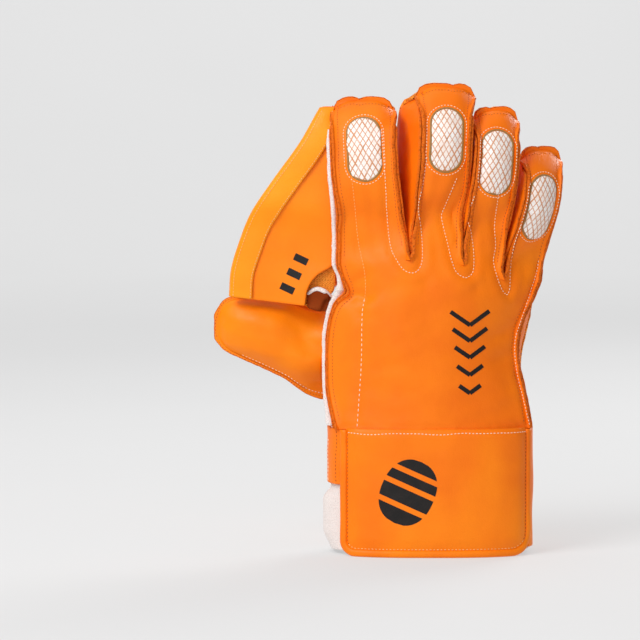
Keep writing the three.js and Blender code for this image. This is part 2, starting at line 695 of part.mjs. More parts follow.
// Its palm side stands off from it towards the foot, which rests above the thumb's seam.
const webPalmFoot = thumbRoot.z + thumbGirth * Math.max(...thumbRows.map((row) => row.high))
  + seamAllowance + 3 * clearance;
const webPalm = gridSheet(webLevels, webColumns, (c, w) => {
  const u = webAcross(c, w);
  const splay = webSplay * Math.sin(Math.PI * u) * (1 - w) ** 3;
  const p = webPoint(u, w, 1.5 * clearance + splay);
  return p.setZ(p.z + Math.max(0, webPalmFoot - p.z) * (1 - w));
}, true);
parts.set('web_palm', thicken(webPalm, webLeather));

// The tape round the web's free edge: across the back, over the edge and a little onto the palm.
const tapePlaces = {
  inner: (w) => webPoint(tapeShare(w), w, -webLeather - 2 * clearance),
  middle: (w) => webPoint(tapeShare(w) / 2, w, -webLeather - 2 * clearance),
  edge: (w) => webPoint(beyondEdge(w), w, -webLeather - 2 * clearance),
  fold: (w) => webPoint(beyondEdge(w), w, webLeather + 4.4 * clearance),
  end: (w) => webPoint(tapeShare(w) * tapeFold / tapeWidth, w, webLeather + 4.4 * clearance),
};
const beyondEdge = (w) => -2.2 * clearance / webPoint(0, w).distanceTo(webPoint(1, w));
const tape = gridSheet(webLevels, Object.keys(tapePlaces), (name, w) => tapePlaces[name](w), true);
parts.set('web_tape', thicken(tape, tapeLeather));

// The white towelling beside the back panel's seam on the thumb side.
const stripSection = [[-1, -0.5], [-0.5, -1], [0.5, -1], [1, -0.5], [1, 1], [-1, 1]];
parts.set('lining_edge', loft(stripShares.map((share) => {
  const z = seamZ + 4 * clearance + stripLength * share;
  const c = sideAt(z, stripSet, gussetLeather + clearance + stripWidth / 2);
  return stripSection.map(([x, y]) => point(c.x + x * stripWidth / 2, c.y + y * stripDepth / 2, c.z));
})));

// The cuff's plan: one closed curve, measured along its length from the thumb side over the back.
const CUFF_SAMPLES = 720;
const cuffPlan = (inset) => {
  const curve = [0];
  const ring = Array.from({ length: CUFF_SAMPLES + 1 }, (_, i) => {
    const angle = Math.PI + 2 * Math.PI * i / CUFF_SAMPLES;
    const along = (v) => Math.sign(v) * Math.abs(v) ** (2 / cuffSquareness);
    return point(
      cuffCentreX + (cuffWidth / 2 - inset) * along(Math.cos(angle)),
      cuffCentreY + (cuffDepth / 2 - inset) * along(Math.sin(angle)),
      0,
    );
  });
  for (let i = 1; i < ring.length; i += 1) curve.push(last(curve) + ring[i].distanceTo(ring[i - 1]));
  return { ring, curve, length: last(curve) };
};
const wall = cuffPlan(cuffLeather);

// A place on a cuff curve: distance along it, height, and distance out from it.
function cuffPoint(plan, along, z, out = 0) {
  const s = ((along % plan.length) + plan.length) % plan.length;
  let i = plan.curve.findIndex((c) => c > s);
  if (i < 1) i = 1;
  const t = (s - plan.curve[i - 1]) / (plan.curve[i] - plan.curve[i - 1]);
  const way = plan.ring[i].clone().sub(plan.ring[i - 1]).normalize();
  const p = mix(plan.ring[i - 1], plan.ring[i], t).add(point(way.y * out, -way.x * out, 0));
  return p.setZ(z);
}
// Where the curve passes a given x on the back (side -1) or the palm side (side 1).
function cuffPlace(x, side) {
  const half = (i) => (side < 0 ? i < CUFF_SAMPLES / 2 : i >= CUFF_SAMPLES / 2);
  const i = wall.ring.findIndex((p, k) => half(k) && (side < 0 ? p.x >= x : p.x <= x));
  return wall.curve[i];
}
const cuffPanels = {
  back: {
    from: cuffPlace(cuffBackLeft, -1),
    to: cuffPlace(cuffBackRight, -1),
    left: cornerSmall,
    right: cornerLarge,
  },
  palm: {
    from: cuffPlace(cuffPalmRight, 1),
    to: cuffPlace(cuffPalmLeft, 1),
    left: cornerPalm,
    right: cornerPalm,
  },
};
const corner = (d, r) => (d >= r ? 0 : r - Math.sqrt(Math.max(0, r * r - (r - d) ** 2)));
const rimSection = [[1, 0], [-1, 0], [-1, 0.75], [-0.55, 1], [0.55, 1], [1, 0.75]];

// A cuff panel with rounded lower corners, inside its rim.
function cuffPanel({ from, to, left, right }) {
  const border = rimWidth + clearance;
  const [a, b] = [from + border, to - border];
  const foot = (u) => border + corner((b - a) * u, left) + corner((b - a) * (1 - u), right);
  return gridSheet(steps(3), cuffColumns, (u, v) => (
    cuffPoint(wall, lerp(a, b, u), lerp(foot(u), cuffHeight, v))));
}

// The rolled rim down one side of the panel, round its corners, along the foot and up again.
function cuffRim({ from, to, left, right }) {
  const r = rimWidth / 2;
  const [leftX, rightX] = [from + rimWidth + left, to - rimWidth - right];
  const down = steps(4, cuffHeight, rimWidth + left + cornerEase).map((z) => [from + r, z, Math.PI]);
  const up = steps(4, rimWidth + right + cornerEase, cuffHeight).map((z) => [to - r, z, 2 * Math.PI]);
  const foot = steps(14, 0.03, 0.97).map((v) => [lerp(leftX, rightX, v), r, 1.5 * Math.PI]);
  const arc = (x, radius, start) => steps(5, start, start + Math.PI / 2).map((angle) => [
    x + (radius + r) * Math.cos(angle),
    rimWidth + radius + (radius + r) * Math.sin(angle),
    angle,
  ]);
  const [leftArc, rightArc] = [arc(leftX, left, Math.PI), arc(rightX, right, 1.5 * Math.PI)];
  const line = [...down, ...leftArc, ...foot, ...rightArc, ...up];
  return loft(line.map(([along, z, angle]) => rimSection.map(([e, d]) => (
    cuffPoint(wall, along + e * r * Math.cos(angle), z + e * r * Math.sin(angle), d * rimHeight)))));
}
for (const [name, panel] of Object.entries(cuffPanels)) {
  parts.set(`cuff_${name}`, thicken(cuffPanel(panel), cuffLeather));
  parts.set(`cuff_rim_${name}`, cuffRim(panel));
}

// The two sides between the panels. The thumb side ends above an opening that shows the lining.
function cuffSide(from, to, foot) {
  const columns = steps(12, from + clearance, to - clearance);
  const side = gridSheet(steps(2, foot, cuffHeight), columns, (s, z) => cuffPoint(wall, s, z));
  return thicken(side, backLeather);
}
const { back, palm } = cuffPanels;
parts.set('cuff_side_thumb', cuffSide(palm.to, back.from + wall.length, slitHeight));
parts.set('cuff_side_little', cuffSide(back.to, palm.from, rimWidth));

// The lining inside the cuff, which bulges out through the opening.
const inner = cuffPlan(cuffLeather + clearance + towelling);
function liningOut(u, z) {
  const away = Math.min(u, 1 - u) * inner.length;
  const top = slitHeight - liningFoot;
  return liningBulge * smoothstep(liningBulgeHalf - away, 0, liningBulgeHalf)
    * smoothstep(top - z, 0, liningBulgeEase) * smoothstep(z, rimWidth, liningBulgeFrom);
}
const tubeLevels = [
  liningFoot,
  ...[0.18, 0.45, 0.77].map((share) => share * slitHeight),
  slitHeight - liningFoot,
  cuffHeight - liningTop,
];
const tubeShares = [
  0, 0.012, 0.026, 0.045, 0.075, ...steps(14, 0.12, 0.88), 0.925, 0.955, 0.974, 0.988, 1,
];
const tube = gridSheet(tubeLevels, tubeShares, (u, z) => (
  cuffPoint(inner, u * inner.length, z, liningOut(u, z))));
parts.set('lining_cuff', thicken(closeRound(tube, tubeShares.length), towelling));

// The white lining of the wrist, between the thumb-side strip and the palm.
const wristRows = handLevels.slice(0, THUMB_FIRST_STEP + 1).map((j) => ({
  ...gussetRow(backSheet.hand[j][0], palmSheet.hand[j][0]),
  start: indexSide[j].end.clone().add(point(wristSetX, wristSetY, 0)),
}));
const wristColumns = steps(4);
const wrist = gridSheet(wristRows, wristColumns, (d, { start, end }) => mix(end, start, d));
wrist.offsets = new Map(wristRows.map(({ cover }, j) => [wristColumns.length * j, cover]));
levelFoot(wrist);
parts.set('lining_wrist', thicken(wrist, towelling));

// Finger windows: an opening in the back panel with a satin piece let into it.
const prismDepth = 24;
const windowAt = (i) => 1 - fingers[i].window / fingers[i].length;
function windowPrism(i, spare) {
  const f = windowAt(i);
  const at = (s, h) => fingerPoint(i, s, h, false);
  const up = at(0, f + 0.1).sub(at(0, f - 0.1)).normalize();
  const side = at(0.5, f).sub(at(-0.5, f)).normalize();
  const out = side.clone().cross(up);
  const half = windowWidth / 2 - spare;
  const straight = (windowLength - windowWidth) / 2;
  const shape = new THREE.Shape();
  shape.absarc(0, straight, half, 0, Math.PI);
  shape.absarc(0, -straight, half, Math.PI, 2 * Math.PI);
  const options = { depth: prismDepth, bevelEnabled: false, curveSegments: 5 };
  const place = at(0, f).addScaledVector(out, -prismDepth / 2);
  const frame = new THREE.Matrix4().makeBasis(side, up, out).setPosition(place);
  return toManifold(new THREE.ExtrudeGeometry(shape, options).applyMatrix4(frame));
}
let backSolid = toManifold(thicken(backSheet, backLeather));
fingers.forEach(({ name, length }, i) => {
  const reach = windowLength / 2 / length + 0.03;
  const levels = steps(3, windowAt(i) - reach, windowAt(i) + reach);
  const patch = gridSheet(levels, steps(STRIP_STEPS, -1, 1), (s, f) => fingerPoint(i, s, f, false));
  const solid = toManifold(thicken(patch, satin, satinSet)).intersect(windowPrism(i, clearance));
  parts.set(`window_${name}`, fromManifold(solid));
  backSolid = backSolid.subtract(windowPrism(i, 0));
});
parts.set('back_panel', fromManifold(backSolid));

// The palm panel, with a cut at the crotch of the thumb that shows the white lining behind it.
const cut = new THREE.Shape(crotchCorners.map(([x, z]) => (
  new THREE.Vector2(crotchCutX + crotchCut * x, crotchCutZ + crotchCut * z))));
const cutPrism = new THREE.ExtrudeGeometry(cut, { depth: handDepth, bevelEnabled: false });
cutPrism.rotateX(Math.PI / 2).translate(0, handDepth, 0);
const palmSolid = toManifold(thicken(palmSheet, palmLeather));
parts.set('palm_panel', fromManifold(palmSolid.subtract(toManifold(cutPrism))));
const crotch = gridSheet(steps(4, 0.58, 0.93), steps(4, 0.04, 0.3), palmHand, true);
parts.set('lining_crotch', thicken(crotch, towelling, -2 * clearance - towelling));

// Cuts a finished piece back to a clearance from a neighbour's sheet, and keeps the main body.
function trim(name, sheet, thickness) {
  const spare = 0.8 * clearance;
  const block = toManifold(thicken(sheet, thickness + 2 * spare, -spare));
  const bodies = toManifold(parts.get(name)).subtract(block).decompose();
  bodies.sort((a, b) => b.volume() - a.volume());
  parts.set(name, fromManifold(bodies[0]));
}
for (const name of parts.keys()) {
  if (/^(gusset|side_gusset|thumb_back|lining_wrist)/.test(name)) trim(name, palmSheet, palmLeather);
  if (/^(web|lining_edge|thumb_back)/.test(name)) trim(name, sideSheet, gussetLeather);
}
trim('lining_edge', thumbSheet, backLeather);

const dyes = [
  { pieces: /^(lining|window)/, colour: 0xe6dcd8 },
  { pieces: /^web_tape/, colour: 0xff9a25 },
  { pieces: /./, colour: 0xf47b14 },
];
const glove = new THREE.Group();
for (const [name, geometry] of parts) {
  const { colour } = dyes.find(({ pieces }) => pieces.test(name));
  const material = new THREE.MeshStandardMaterial({ color: colour, roughness: 0.6, metalness: 0 });
  const mesh = new THREE.Mesh(geometry, material);
  mesh.name = name;
  glove.add(mesh);
}
// The frame's origin lies on the floor, under the middle of the glove's box.
const middle = new THREE.Box3().setFromObject(glove).getCenter(point(0, 0, 0));
glove.position.set(-middle.x, -middle.y, 0);
export default glove;
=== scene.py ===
"""The looks of a wicketkeeping glove: padded orange leather, pimpled rubber, towelling and satin.

Lengths are in millimetres until a mesh is made. The glove stands on its cuff with the fingers up,
the back of the hand faces -Y and the thumb points to -X.
"""
import math

import bpy
import numpy as np
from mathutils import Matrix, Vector
from mathutils.bvhtree import BVHTree
from mathutils.kdtree import KDTree


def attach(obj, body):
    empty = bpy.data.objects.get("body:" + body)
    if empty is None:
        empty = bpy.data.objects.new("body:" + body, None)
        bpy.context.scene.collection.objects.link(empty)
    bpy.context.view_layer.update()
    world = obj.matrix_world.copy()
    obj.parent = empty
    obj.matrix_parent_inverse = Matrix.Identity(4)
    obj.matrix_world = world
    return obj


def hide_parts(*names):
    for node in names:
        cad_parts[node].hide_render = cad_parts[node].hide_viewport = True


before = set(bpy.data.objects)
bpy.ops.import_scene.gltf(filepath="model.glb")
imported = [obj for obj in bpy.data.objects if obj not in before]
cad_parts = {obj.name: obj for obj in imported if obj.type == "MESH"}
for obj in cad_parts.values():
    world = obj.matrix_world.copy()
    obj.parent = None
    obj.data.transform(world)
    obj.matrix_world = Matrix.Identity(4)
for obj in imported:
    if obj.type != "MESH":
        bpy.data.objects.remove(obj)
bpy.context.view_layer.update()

# Sizes of the glove
ORIGIN_X, ORIGIN_Y = 28.9503, -2.6654
BACK_LEATHER, PALM_LEATHER, GUSSET_LEATHER = 2.0, 2.6, 1.3
WEB_LEATHER, TAPE_LEATHER, CUFF_LEATHER = 1.7, 1.1, 3.2
TOWELLING, SATIN, CLEARANCE = 1.6, 1.0, 0.35
SEAM_ALLOWANCE, SLIT_COVER, SIDE_COVER = 3.2, 0.9, 0.7
SLIT_WIDTH, PALM_SLIT_WIDTH = 5.0, 5.8
CUFF_WIDTH, CUFF_DEPTH, CUFF_HEIGHT, CUFF_SQUARENESS = 130.0, 68.0, 78.0, 2.6
CUFF_CENTRE = (-3.0, 1.0)
CUFF_BACK, CUFF_PALM = (-57.0, 56.0), (54.0, -56.0)
RIM_HEIGHT, RIM_WIDTH, SLIT_HEIGHT = 4.2, 4.6, 44.0
LINING_FOOT, LINING_BULGE, LINING_BULGE_HALF = 3.2, 5.0, 16.0
HAND_LENGTH, HAND_DEPTH, HAND_CENTRE_X, PALM_SPREAD = 105.0, 52.0, 2.0, 132.0
CROWN, TIP_WIDTH, TIP_SET_BACK, SIDE_BOW, SIDE_STRIP_DEPTH = 3.2, 0.94, 24.0, 1.5, 9.5
WINDOW_LENGTH, WINDOW_WIDTH = 39.0, 19.5
THUMB_LENGTH, THUMB_GIRTH, THUMB_DEPTH = 74.0, 54.0, 36.0
WEB_REACH, WEB_FOOT, WEB_HEIGHT, WEB_DEPTH, WEB_SPLAY = 61.0, 161.0, 112.0, 9.0, 5.0
WEB_SEAM_X, WEB_SEAM_SHARE, TAPE_WIDTH, TAPE_FOLD = -67.0, 0.55, 12.4, 2.4
STRIP_WIDTH, STRIP_DEPTH, STRIP_SET, STRIP_LENGTH = 2.6, 4.4, 3.2, 176.0
CROTCH_CUT, CROTCH_CUT_X, CROTCH_CUT_Z = 35.0, -45.0, 157.0
FINGER_LENGTH, FINGER_WIDTH = 102.0, 40.0
SEAM_Z = CUFF_HEIGHT + CLEARANCE


def table(names, *rows):
    """A short table: its column names, then its rows of numbers."""
    return {name: np.array([row[k] for row in rows], float) for k, name in enumerate(names.split())}


def fingers(names, *rows):
    """A finger table's shares as lengths: of the middle finger's length and the finger width."""
    turned = []
    for row in rows:
        finger = dict(zip(names.split(), row))
        turned.append({key: value if key in ("name", "turn") else
                       value * (FINGER_LENGTH if key == "length" else FINGER_WIDTH)
                       for key, value in finger.items()})
    return turned


FINGERS = fingers(
    "name length width base lean turn window",
    ("index", 0.941, 0.9, 1, -0.15, -4, 0.7), ("middle", 1, 0.725, 0.675, 0.15, 12, 0.775),
    ("ring", 0.922, 0.65, 0.5, 0.225, 22, 0.75), ("little", 0.755, 0.625, 0.5, 0.325, 36, 0.85),
)
PALM_FINGERS = fingers(
    "name width base lean",
    ("index", 0.825, 0.95, 0), ("middle", 0.95, 0.925, 0.075),
    ("ring", 0.5625, 0.6, 0.15), ("little", 0.5, 0.525, 0.1875),
)
BACK_ROWS = table(
    "at left right y_left y_right bulge",
    (0.0, -0.508, 0.448, -0.33, -0.23, 0.29),
    (0.22, -0.543, 0.42, -0.2, -0.17, 0.36),
    (0.45, -0.546, 0.384, -0.17, -0.12, 0.4),
    (0.6, -0.54, 0.384, -0.19, -0.1, 0.4),
    (0.74, -0.51, 0.41, -0.22, -0.07, 0.38),
    (0.82, -0.458, 0.437, -0.24, -0.04, 0.36),
    (0.9, -0.465, 0.467, -0.26, 0.0, 0.35),
    (1.0, -0.495, 0.5, -0.27, 0.08, 0.33),
)
KNUCKLE_LINE = table("at rise", (0, 0.96), (0.36, 1.03), (0.6, 1.0), (0.84, 0.9), (1, 0.86))
PALM_ROWS = table(
    "at left right y_left y_right bulge",
    (0.0, -0.485, 0.4, 0.27, 0.33, 0.3),
    (0.17, -0.47, 0.385, 0.5, 0.33, 0.24),
    (0.33, -0.465, 0.37, 0.58, 0.32, 0.17),
    (0.5, -0.465, 0.38, 0.58, 0.32, 0.12),
    (0.67, -0.46, 0.41, 0.44, 0.34, 0.1),
    (0.8, -0.455, 0.43, 0.25, 0.38, 0.06),
    (0.9, -0.47, 0.44, 0.18, 0.44, 0.02),
    (1.0, -0.485, 0.455, 0.16, 0.5, -0.04),
)
PALM_KNUCKLE_LINE = table("at rise", (0, 0.98), (0.3, 1.3), (0.6, 1.28), (0.84, 1.16), (1, 0.88))
FINGER_ROWS = table(
    "at lean set fill full",
    (0, 0, 0, 0, 0),
    (0.15, 0.1, 0.065, -0.03, 0.5),
    (0.35, 0.42, 0.025, -0.06, 1),
    (0.55, 0.78, 0.01, -0.06, 1),
    (0.75, 0.96, 0.06, -0.06, 0.95),
    (1, 1, 0.15, -0.05, 0.85),
)
THUMB_ROWS = table(
    "at low high seam back palm",
    (0, 0.0, 1.0, 0.4, -0.02, 0.86),
    (0.2, 0.1, 1.03, 0.44, 0.03, 0.98),
    (0.4, 0.235, 1.06, 0.47, 0.06, 1.02),
    (0.6, 0.365, 1.09, 0.5, 0.12, 1.0),
    (0.8, 0.485, 1.1, 0.53, 0.22, 0.93),
    (0.93, 0.57, 1.06, 0.56, 0.39, 0.76),
    (1, 0.68, 0.92, 0.58, 0.575, 0.59),
)
WEB_ROWS = table(
    "at out rise",
    (0, 0.965, 0.0), (0.13, 0.945, 0.12), (0.27, 0.87, 0.26), (0.43, 0.745, 0.43),
    (0.6, 0.54, 0.6), (0.78, 0.3, 0.78), (1, 0.03, 1.0),
)
WEB_INNER = table(
    "at out rise",
    (0, 0.3, -0.045), (0.09, 0.27, 0.03), (0.18, 0.17, 0.1), (0.27, 0.0, 0.17),
    (0.5, 0.0, 0.46), (1, 0.0, 1.0),
)
WEB_PALM_INNER = table(
    "at out rise",
    (0, 0.15, -0.09), (0.09, 0.12, -0.045), (0.18, 0.06, -0.015), (0.27, 0.0, 0.04),
    (0.5, 0.0, 0.4), (1, 0.0, 1.0),
)
WEB_ARCH_TOP, WEB_HANG, WEB_PEAK = 0.17, 2.6, 3.0
CROTCH_CORNERS = table("x z", (-0.54, 0.06), (-0.26, 0.48), (0.46, -0.15), (-0.11, -0.46))

HAND_STEPS, THUMB_FROM, THUMB_TO, STRIP_STEPS, SLIT_STEPS = 60, 10, 40, 14, 4
FLANGE_STEPS, FLOOR_GLOW, FILM_LIFT = 4, 0.61, 0.12
# Rays set out from a plane in front of the glove, or from clear of a wall, and go away from us.
FRONT_Y, CLEAR_OF_WALL, AWAY = -80.0, 12.0, (0, 1, 0)
ROUNDING_FROM, TAPER_FROM, EDGE_POWER, ARCH_POWER = 0.6, 0.84, 2.6, 2.4
TIP_CORNER, TIP_GATHER, GATHER_PLACES = 5.5, 1.3, (-0.15, 0.3, -0.3, -0.2)
SLIT_POINT, SLIT_PULL, SLIT_FOOT_LEAN = 4.0, 0.9, 0.5
SIDE_LEAN, SLIT_LEAN, TIP_TURN, SHARPEST_FOLD = 0.45, 0.06, 0.6, 0.68
rise = np.linspace(0, 1, 57)[1:]
FINGER_STEPS = rise * (1 - rise) + (1 - (1 - rise) ** 2.2) * rise
THUMB_STEPS = 1 - (1 - np.linspace(0, 1, 41)[1:]) ** 1.5


# Shapes of the glove

def lerp(a, b, t):
    return a + (b - a) * t


def smoothstep(x, low, high):
    """0 at low, 1 at high, and smooth between them."""
    t = np.clip((np.asarray(x, float) - low) / (high - low), 0, 1)
    return t * t * (3 - 2 * t)


def unit(v):
    return v / np.maximum(np.linalg.norm(v, axis=-1, keepdims=True), 1e-9)


def points_of(x, y, z):
    return np.stack(np.broadcast_arrays(x, y, z), -1).astype(float)


def read(rows, name, at):
    """A table's column at any place between its rows, as a smooth curve."""
    places, values = rows["at"], rows[name]
    end = len(places) - 1
    t = np.clip(np.asarray(at, float), places[0], places[-1])
    i = np.clip(np.searchsorted(places, t) - 1, 0, end - 1)

    def slope(k):
        a, b = np.maximum(k - 1, 0), np.minimum(k + 1, end)
        return (values[b] - values[a]) / (places[b] - places[a])

    width = places[i + 1] - places[i]
    u = (t - places[i]) / width
    h = (3 - 2 * u) * u * u
    bend = width * u * (1 - u) * ((1 - u) * slope(i) - u * slope(i + 1))
    return values[i] * (1 - h) + values[i + 1] * h + bend


def spans(fingers, slit):
    """Where each finger's strip begins and ends across the hand, as shares of the width."""
    total = sum(f["base"] for f in fingers) + slit * (len(fingers) - 1)
    found, x = [], 0.0
    for finger in fingers:
        found.append((x / total, (x + finger["base"]) / total))
        x += finger["base"] + slit
    return found, total


BACK_SPANS, KNUCKLE_WIDTH = spans(FINGERS, SLIT_WIDTH)
PALM_SPANS, _ = spans(PALM_FINGERS, PALM_SLIT_WIDTH)


def hand_point(q, v, palm):
    """A point of the hand: q across from the thumb side, v up from the cuff seam."""
    rows, line, width, side = (
        (PALM_ROWS, PALM_KNUCKLE_LINE, PALM_SPREAD, 1) if palm
        else (BACK_ROWS, KNUCKLE_LINE, KNUCKLE_WIDTH, -1)
    )
    q, v = np.asarray(q, float), np.asarray(v, float)
    x = HAND_CENTRE_X + width * lerp(read(rows, "left", v), read(rows, "right", v), q)
    edge = lerp(read(rows, "y_left", v), read(rows, "y_right", v), q)
    arch = read(rows, "bulge", v) * (1 - np.abs(2 * q - 1) ** ARCH_POWER)
    z = SEAM_Z + HAND_LENGTH * read(line, "rise", q) * v
    return points_of(x, HAND_DEPTH * (edge + side * arch), z)


def roundness(f):
    """How far the finger still keeps its depth: 1 along its body, 0 at the tip seam."""
    end = np.clip((np.asarray(f, float) - ROUNDING_FROM) / (1 - ROUNDING_FROM), 0, 1)
    return (1 - end ** EDGE_POWER) ** 0.55


def finger_point(i, s, f, palm):
    """A point of a finger's back strip or palm face: s across, f from the knuckle to the tip."""
    finger = FINGERS[i]
    own = PALM_FINGERS[i] if palm else finger
    s, f = np.broadcast_arrays(np.asarray(s, float), np.asarray(f, float))
    left, right = (hand_point(q, 1, palm) for q in (PALM_SPANS if palm else BACK_SPANS)[i])
    root = (left + right) / 2
    tip_root = (hand_point(BACK_SPANS[i][0], 1, False) + hand_point(BACK_SPANS[i][1], 1, False)) / 2
    still, full = roundness(f), read(FINGER_ROWS, "full", f)
    base_turn = math.atan2(right[1] - left[1], right[0] - left[0])
    own_turn = math.radians(finger["turn"] / (2 if palm else 1))
    turn = lerp(math.radians(finger["turn"] * TIP_TURN), lerp(base_turn, own_turn, full), still)
    width = lerp(math.hypot(right[0] - left[0], right[1] - left[1]), own["width"], full)
    tip_span = (finger["width"] + PALM_FINGERS[i]["width"]) / 2
    end = np.clip((f - TAPER_FROM) / (1 - TAPER_FROM), 0, 1)
    half = lerp(tip_span, width, still) * (1 - (1 - TIP_WIDTH) * end ** EDGE_POWER) / 2
    depth = HAND_DEPTH * read(FINGER_ROWS, "fill" if palm else "set", f)
    x = lerp(tip_root[0] + finger["lean"], root[0] + own["lean"] * read(FINGER_ROWS, "lean", f), still)
    y = lerp(tip_root[1] + TIP_SET_BACK + (CLEARANCE if palm else 0), root[1] + depth, still)
    z = lerp(lerp(left[2], right[2], (s + 1) / 2), tip_root[2] + finger["length"], f)
    z = z - TIP_CORNER * np.abs(s) ** 7 * smoothstep(f, 0.78, 1)
    z = z - TIP_GATHER * np.exp(-((s - GATHER_PLACES[i]) / 0.16) ** 2) * smoothstep(f, 0.92, 1)
    bow = CROWN * (-0.6 if palm else 1) * smoothstep(f, 0, 0.3) * still * (1 - s * s)
    return points_of(
        x + np.cos(turn) * half * s + np.sin(turn) * bow,
        y + np.sin(turn) * half * s - np.cos(turn) * bow,
        z,
    )


def thumb_share(s):
    return lerp(THUMB_FROM, THUMB_TO, (np.asarray(s, float) + 1) / 2) / HAND_STEPS


THUMB_ROOT = hand_point(0, thumb_share(-1), True)


def thumb_point(a, s, palm):
    """The thumb: a from the hand to its tip, s from its low edge (-1) to its high edge (1)."""
    a, s = np.broadcast_arrays(np.asarray(a, float), np.asarray(s, float))
    root = hand_point(0, thumb_share(s), True)
    free = smoothstep(a, 0, 0.45)
    rise = lerp(read(THUMB_ROWS, "low", a), read(THUMB_ROWS, "high", a), (s + 1) / 2)
    z = THUMB_ROOT[2] + THUMB_GIRTH * rise
    seam = THUMB_DEPTH * read(THUMB_ROWS, "seam", a)
    fill = 1 - np.abs(s) ** EDGE_POWER
    x = THUMB_ROOT[0] - THUMB_LENGTH * a
    if palm:
        y = lerp(root[..., 1], lerp(seam, THUMB_DEPTH * read(THUMB_ROWS, "palm", a), fill), free)
    else:
        edge = hand_point(0, thumb_share(np.where(s < 0, -1, 1)), True)[..., 1]
        edge_y = lerp(edge, seam, free) - 1.3 * CLEARANCE
        y = lerp(edge_y, THUMB_DEPTH * read(THUMB_ROWS, "back", a), fill)
    return points_of(x, y, lerp(root[..., 2], z, free))


class Sheet:
    """A leather piece: the points of its inner face, and its quads, counterclockwise from outside."""

    def __init__(self):
        self.points = np.zeros((0, 3))
        self.quads = np.zeros((0, 4), int)
        self.flat = np.zeros((0, 2))
        self.edge = np.zeros(0)
        self.offsets, self.seams = {}, {}

    def add(self, places, flat=None, edge=0.0):
        """Takes in points and gives their numbers back, in the same rows and columns."""
        places = np.asarray(places, float)
        first, count = len(self.points), places[..., 0].size
        self.points = np.vstack([self.points, places.reshape(-1, 3)])
        flat = places[..., [0, 2]] if flat is None else flat
        self.flat = np.vstack([self.flat, np.asarray(flat, float).reshape(-1, 2)])
        self.edge = np.append(self.edge, np.full(count, float(edge)))
        return first + np.arange(count).reshape(places.shape[:-1])

    def face(self, index, turned=False):
        """Quads between the rows and columns of a grid of point numbers."""
        quads = np.stack([index[:-1, :-1], index[:-1, 1:], index[1:, 1:], index[1:, :-1]], -1)
        quads = quads.reshape(-1, 4)
        self.quads = np.vstack([self.quads, quads[:, ::-1] if turned else quads])

    def quad_normals(self):
        """Which way each quad faces, as a vector twice as long as the quad's area."""
        a, b, c, d = (self.points[self.quads[:, k]] for k in range(4))
        return np.cross(c - a, d - b)

    def normals(self):
        """Which way the sheet faces at each point."""
        found = np.zeros_like(self.points)
        wide = self.quad_normals()
        for k in range(4):
            np.add.at(found, self.quads[:, k], wide)
        return unit(found)

    def border(self):
        """The directed edges that only one quad has."""
        pairs = np.vstack([self.quads[:, [k, (k + 1) % 4]] for k in range(4)])
        known = set(map(tuple, pairs.tolist()))
        return np.array([p for p in pairs.tolist() if (p[1], p[0]) not in known])

    def relax(self, rounds, share=0.5):
        """Smooths the sheet the way damp leather settles, with its border held."""
        pairs = np.vstack([self.quads[:, [k, (k + 1) % 4]] for k in range(4)])
        pairs = np.vstack([pairs, pairs[:, ::-1]])
        held = np.unique(self.border())
        count = np.bincount(pairs[:, 0], minlength=len(self.points))[:, None]
        for _ in range(rounds):
            total = np.zeros_like(self.points)
            np.add.at(total, pairs[:, 0], self.points[pairs[:, 1]])
            moved = lerp(self.points, total / np.maximum(count, 1), share)
            moved[held] = self.points[held]
            self.points = moved

    def press(self, depth):
        """Moves each point in (or out, if negative) by its own depth."""
        self.points = self.points - self.normals() * np.asarray(depth)[:, None]

    def level_foot(self):
        """Keeps the sheet's foot level where it stands on the cuff."""
        normals = self.normals()
        for k in np.nonzero(self.points[:, 2] < SEAM_Z + 0.9)[0]:
            self.points[k, 2] = SEAM_Z
            self.offsets[k] = unit(normals[k] * (1, 1, 0))


def add_flange(sheet, path, over, up, height, flat, plane, curl=0.0, seed=1):
    """Carries a sheet's edge on, in the sheet (over) or up from it (up), as a seam allowance.

    flat presses the direction into the plane in which two sheets meet face to face."""
    path = np.asarray(path)
    normal = sheet.normals()[path]
    legs = unit(np.diff(sheet.points[path], axis=0))
    along = np.vstack([legs[:1], legs[:-1] + legs[1:], legs[-1:]])
    over, up, height, flat = (np.broadcast_to(v, len(path))[:, None] for v in (over, up, height, flat))
    plane = np.broadcast_to(plane, (len(path), 3))

    def pressed(v):
        return unit(v - flat * (v * plane).sum(1, keepdims=True) * plane)

    out = pressed(unit(np.cross(along, normal)))
    way = pressed(out * over + normal * up)
    for k, *seam in zip(path.tolist(), out, way, normal):
        sheet.seams[k] = seam
    base, ring = sheet.points[path], path
    rough = 1 + 0.07 * wander(base, 6.0, seed)[:, None]
    for step in range(1, FLANGE_STEPS + 1):
        share = step / FLANGE_STEPS
        place = base + way * height * share * rough + out * curl * share ** 2
        flat_place = sheet.flat[path] + share * 3.0
        outer = sheet.add(place, flat_place, edge=1.0 if step == FLANGE_STEPS else 0.0)
        sheet.quads = np.vstack([sheet.quads, np.stack([ring[1:], ring[:-1], outer[:-1], outer[1:]], -1)])
        ring = outer


def wander(places, size, seed):
    """Smooth wandering between -1 and 1 whose bumps are about size apart."""
    chance = np.random.default_rng(seed)
    ways = unit(chance.normal(size=(7, 3))) * (2 * np.pi / size) * chance.uniform(0.55, 1.3, (7, 1))
    return np.sin(np.asarray(places) @ ways.T + chance.uniform(0, 2 * np.pi, 7)).mean(-1) * 1.9


def nearest(places, targets):
    """The distance from each place to the nearest target."""
    tree = KDTree(len(targets))
    for k, target in enumerate(targets):
        tree.insert(target, k)
    tree.balance()
    return np.array([tree.find(p)[2] for p in places])


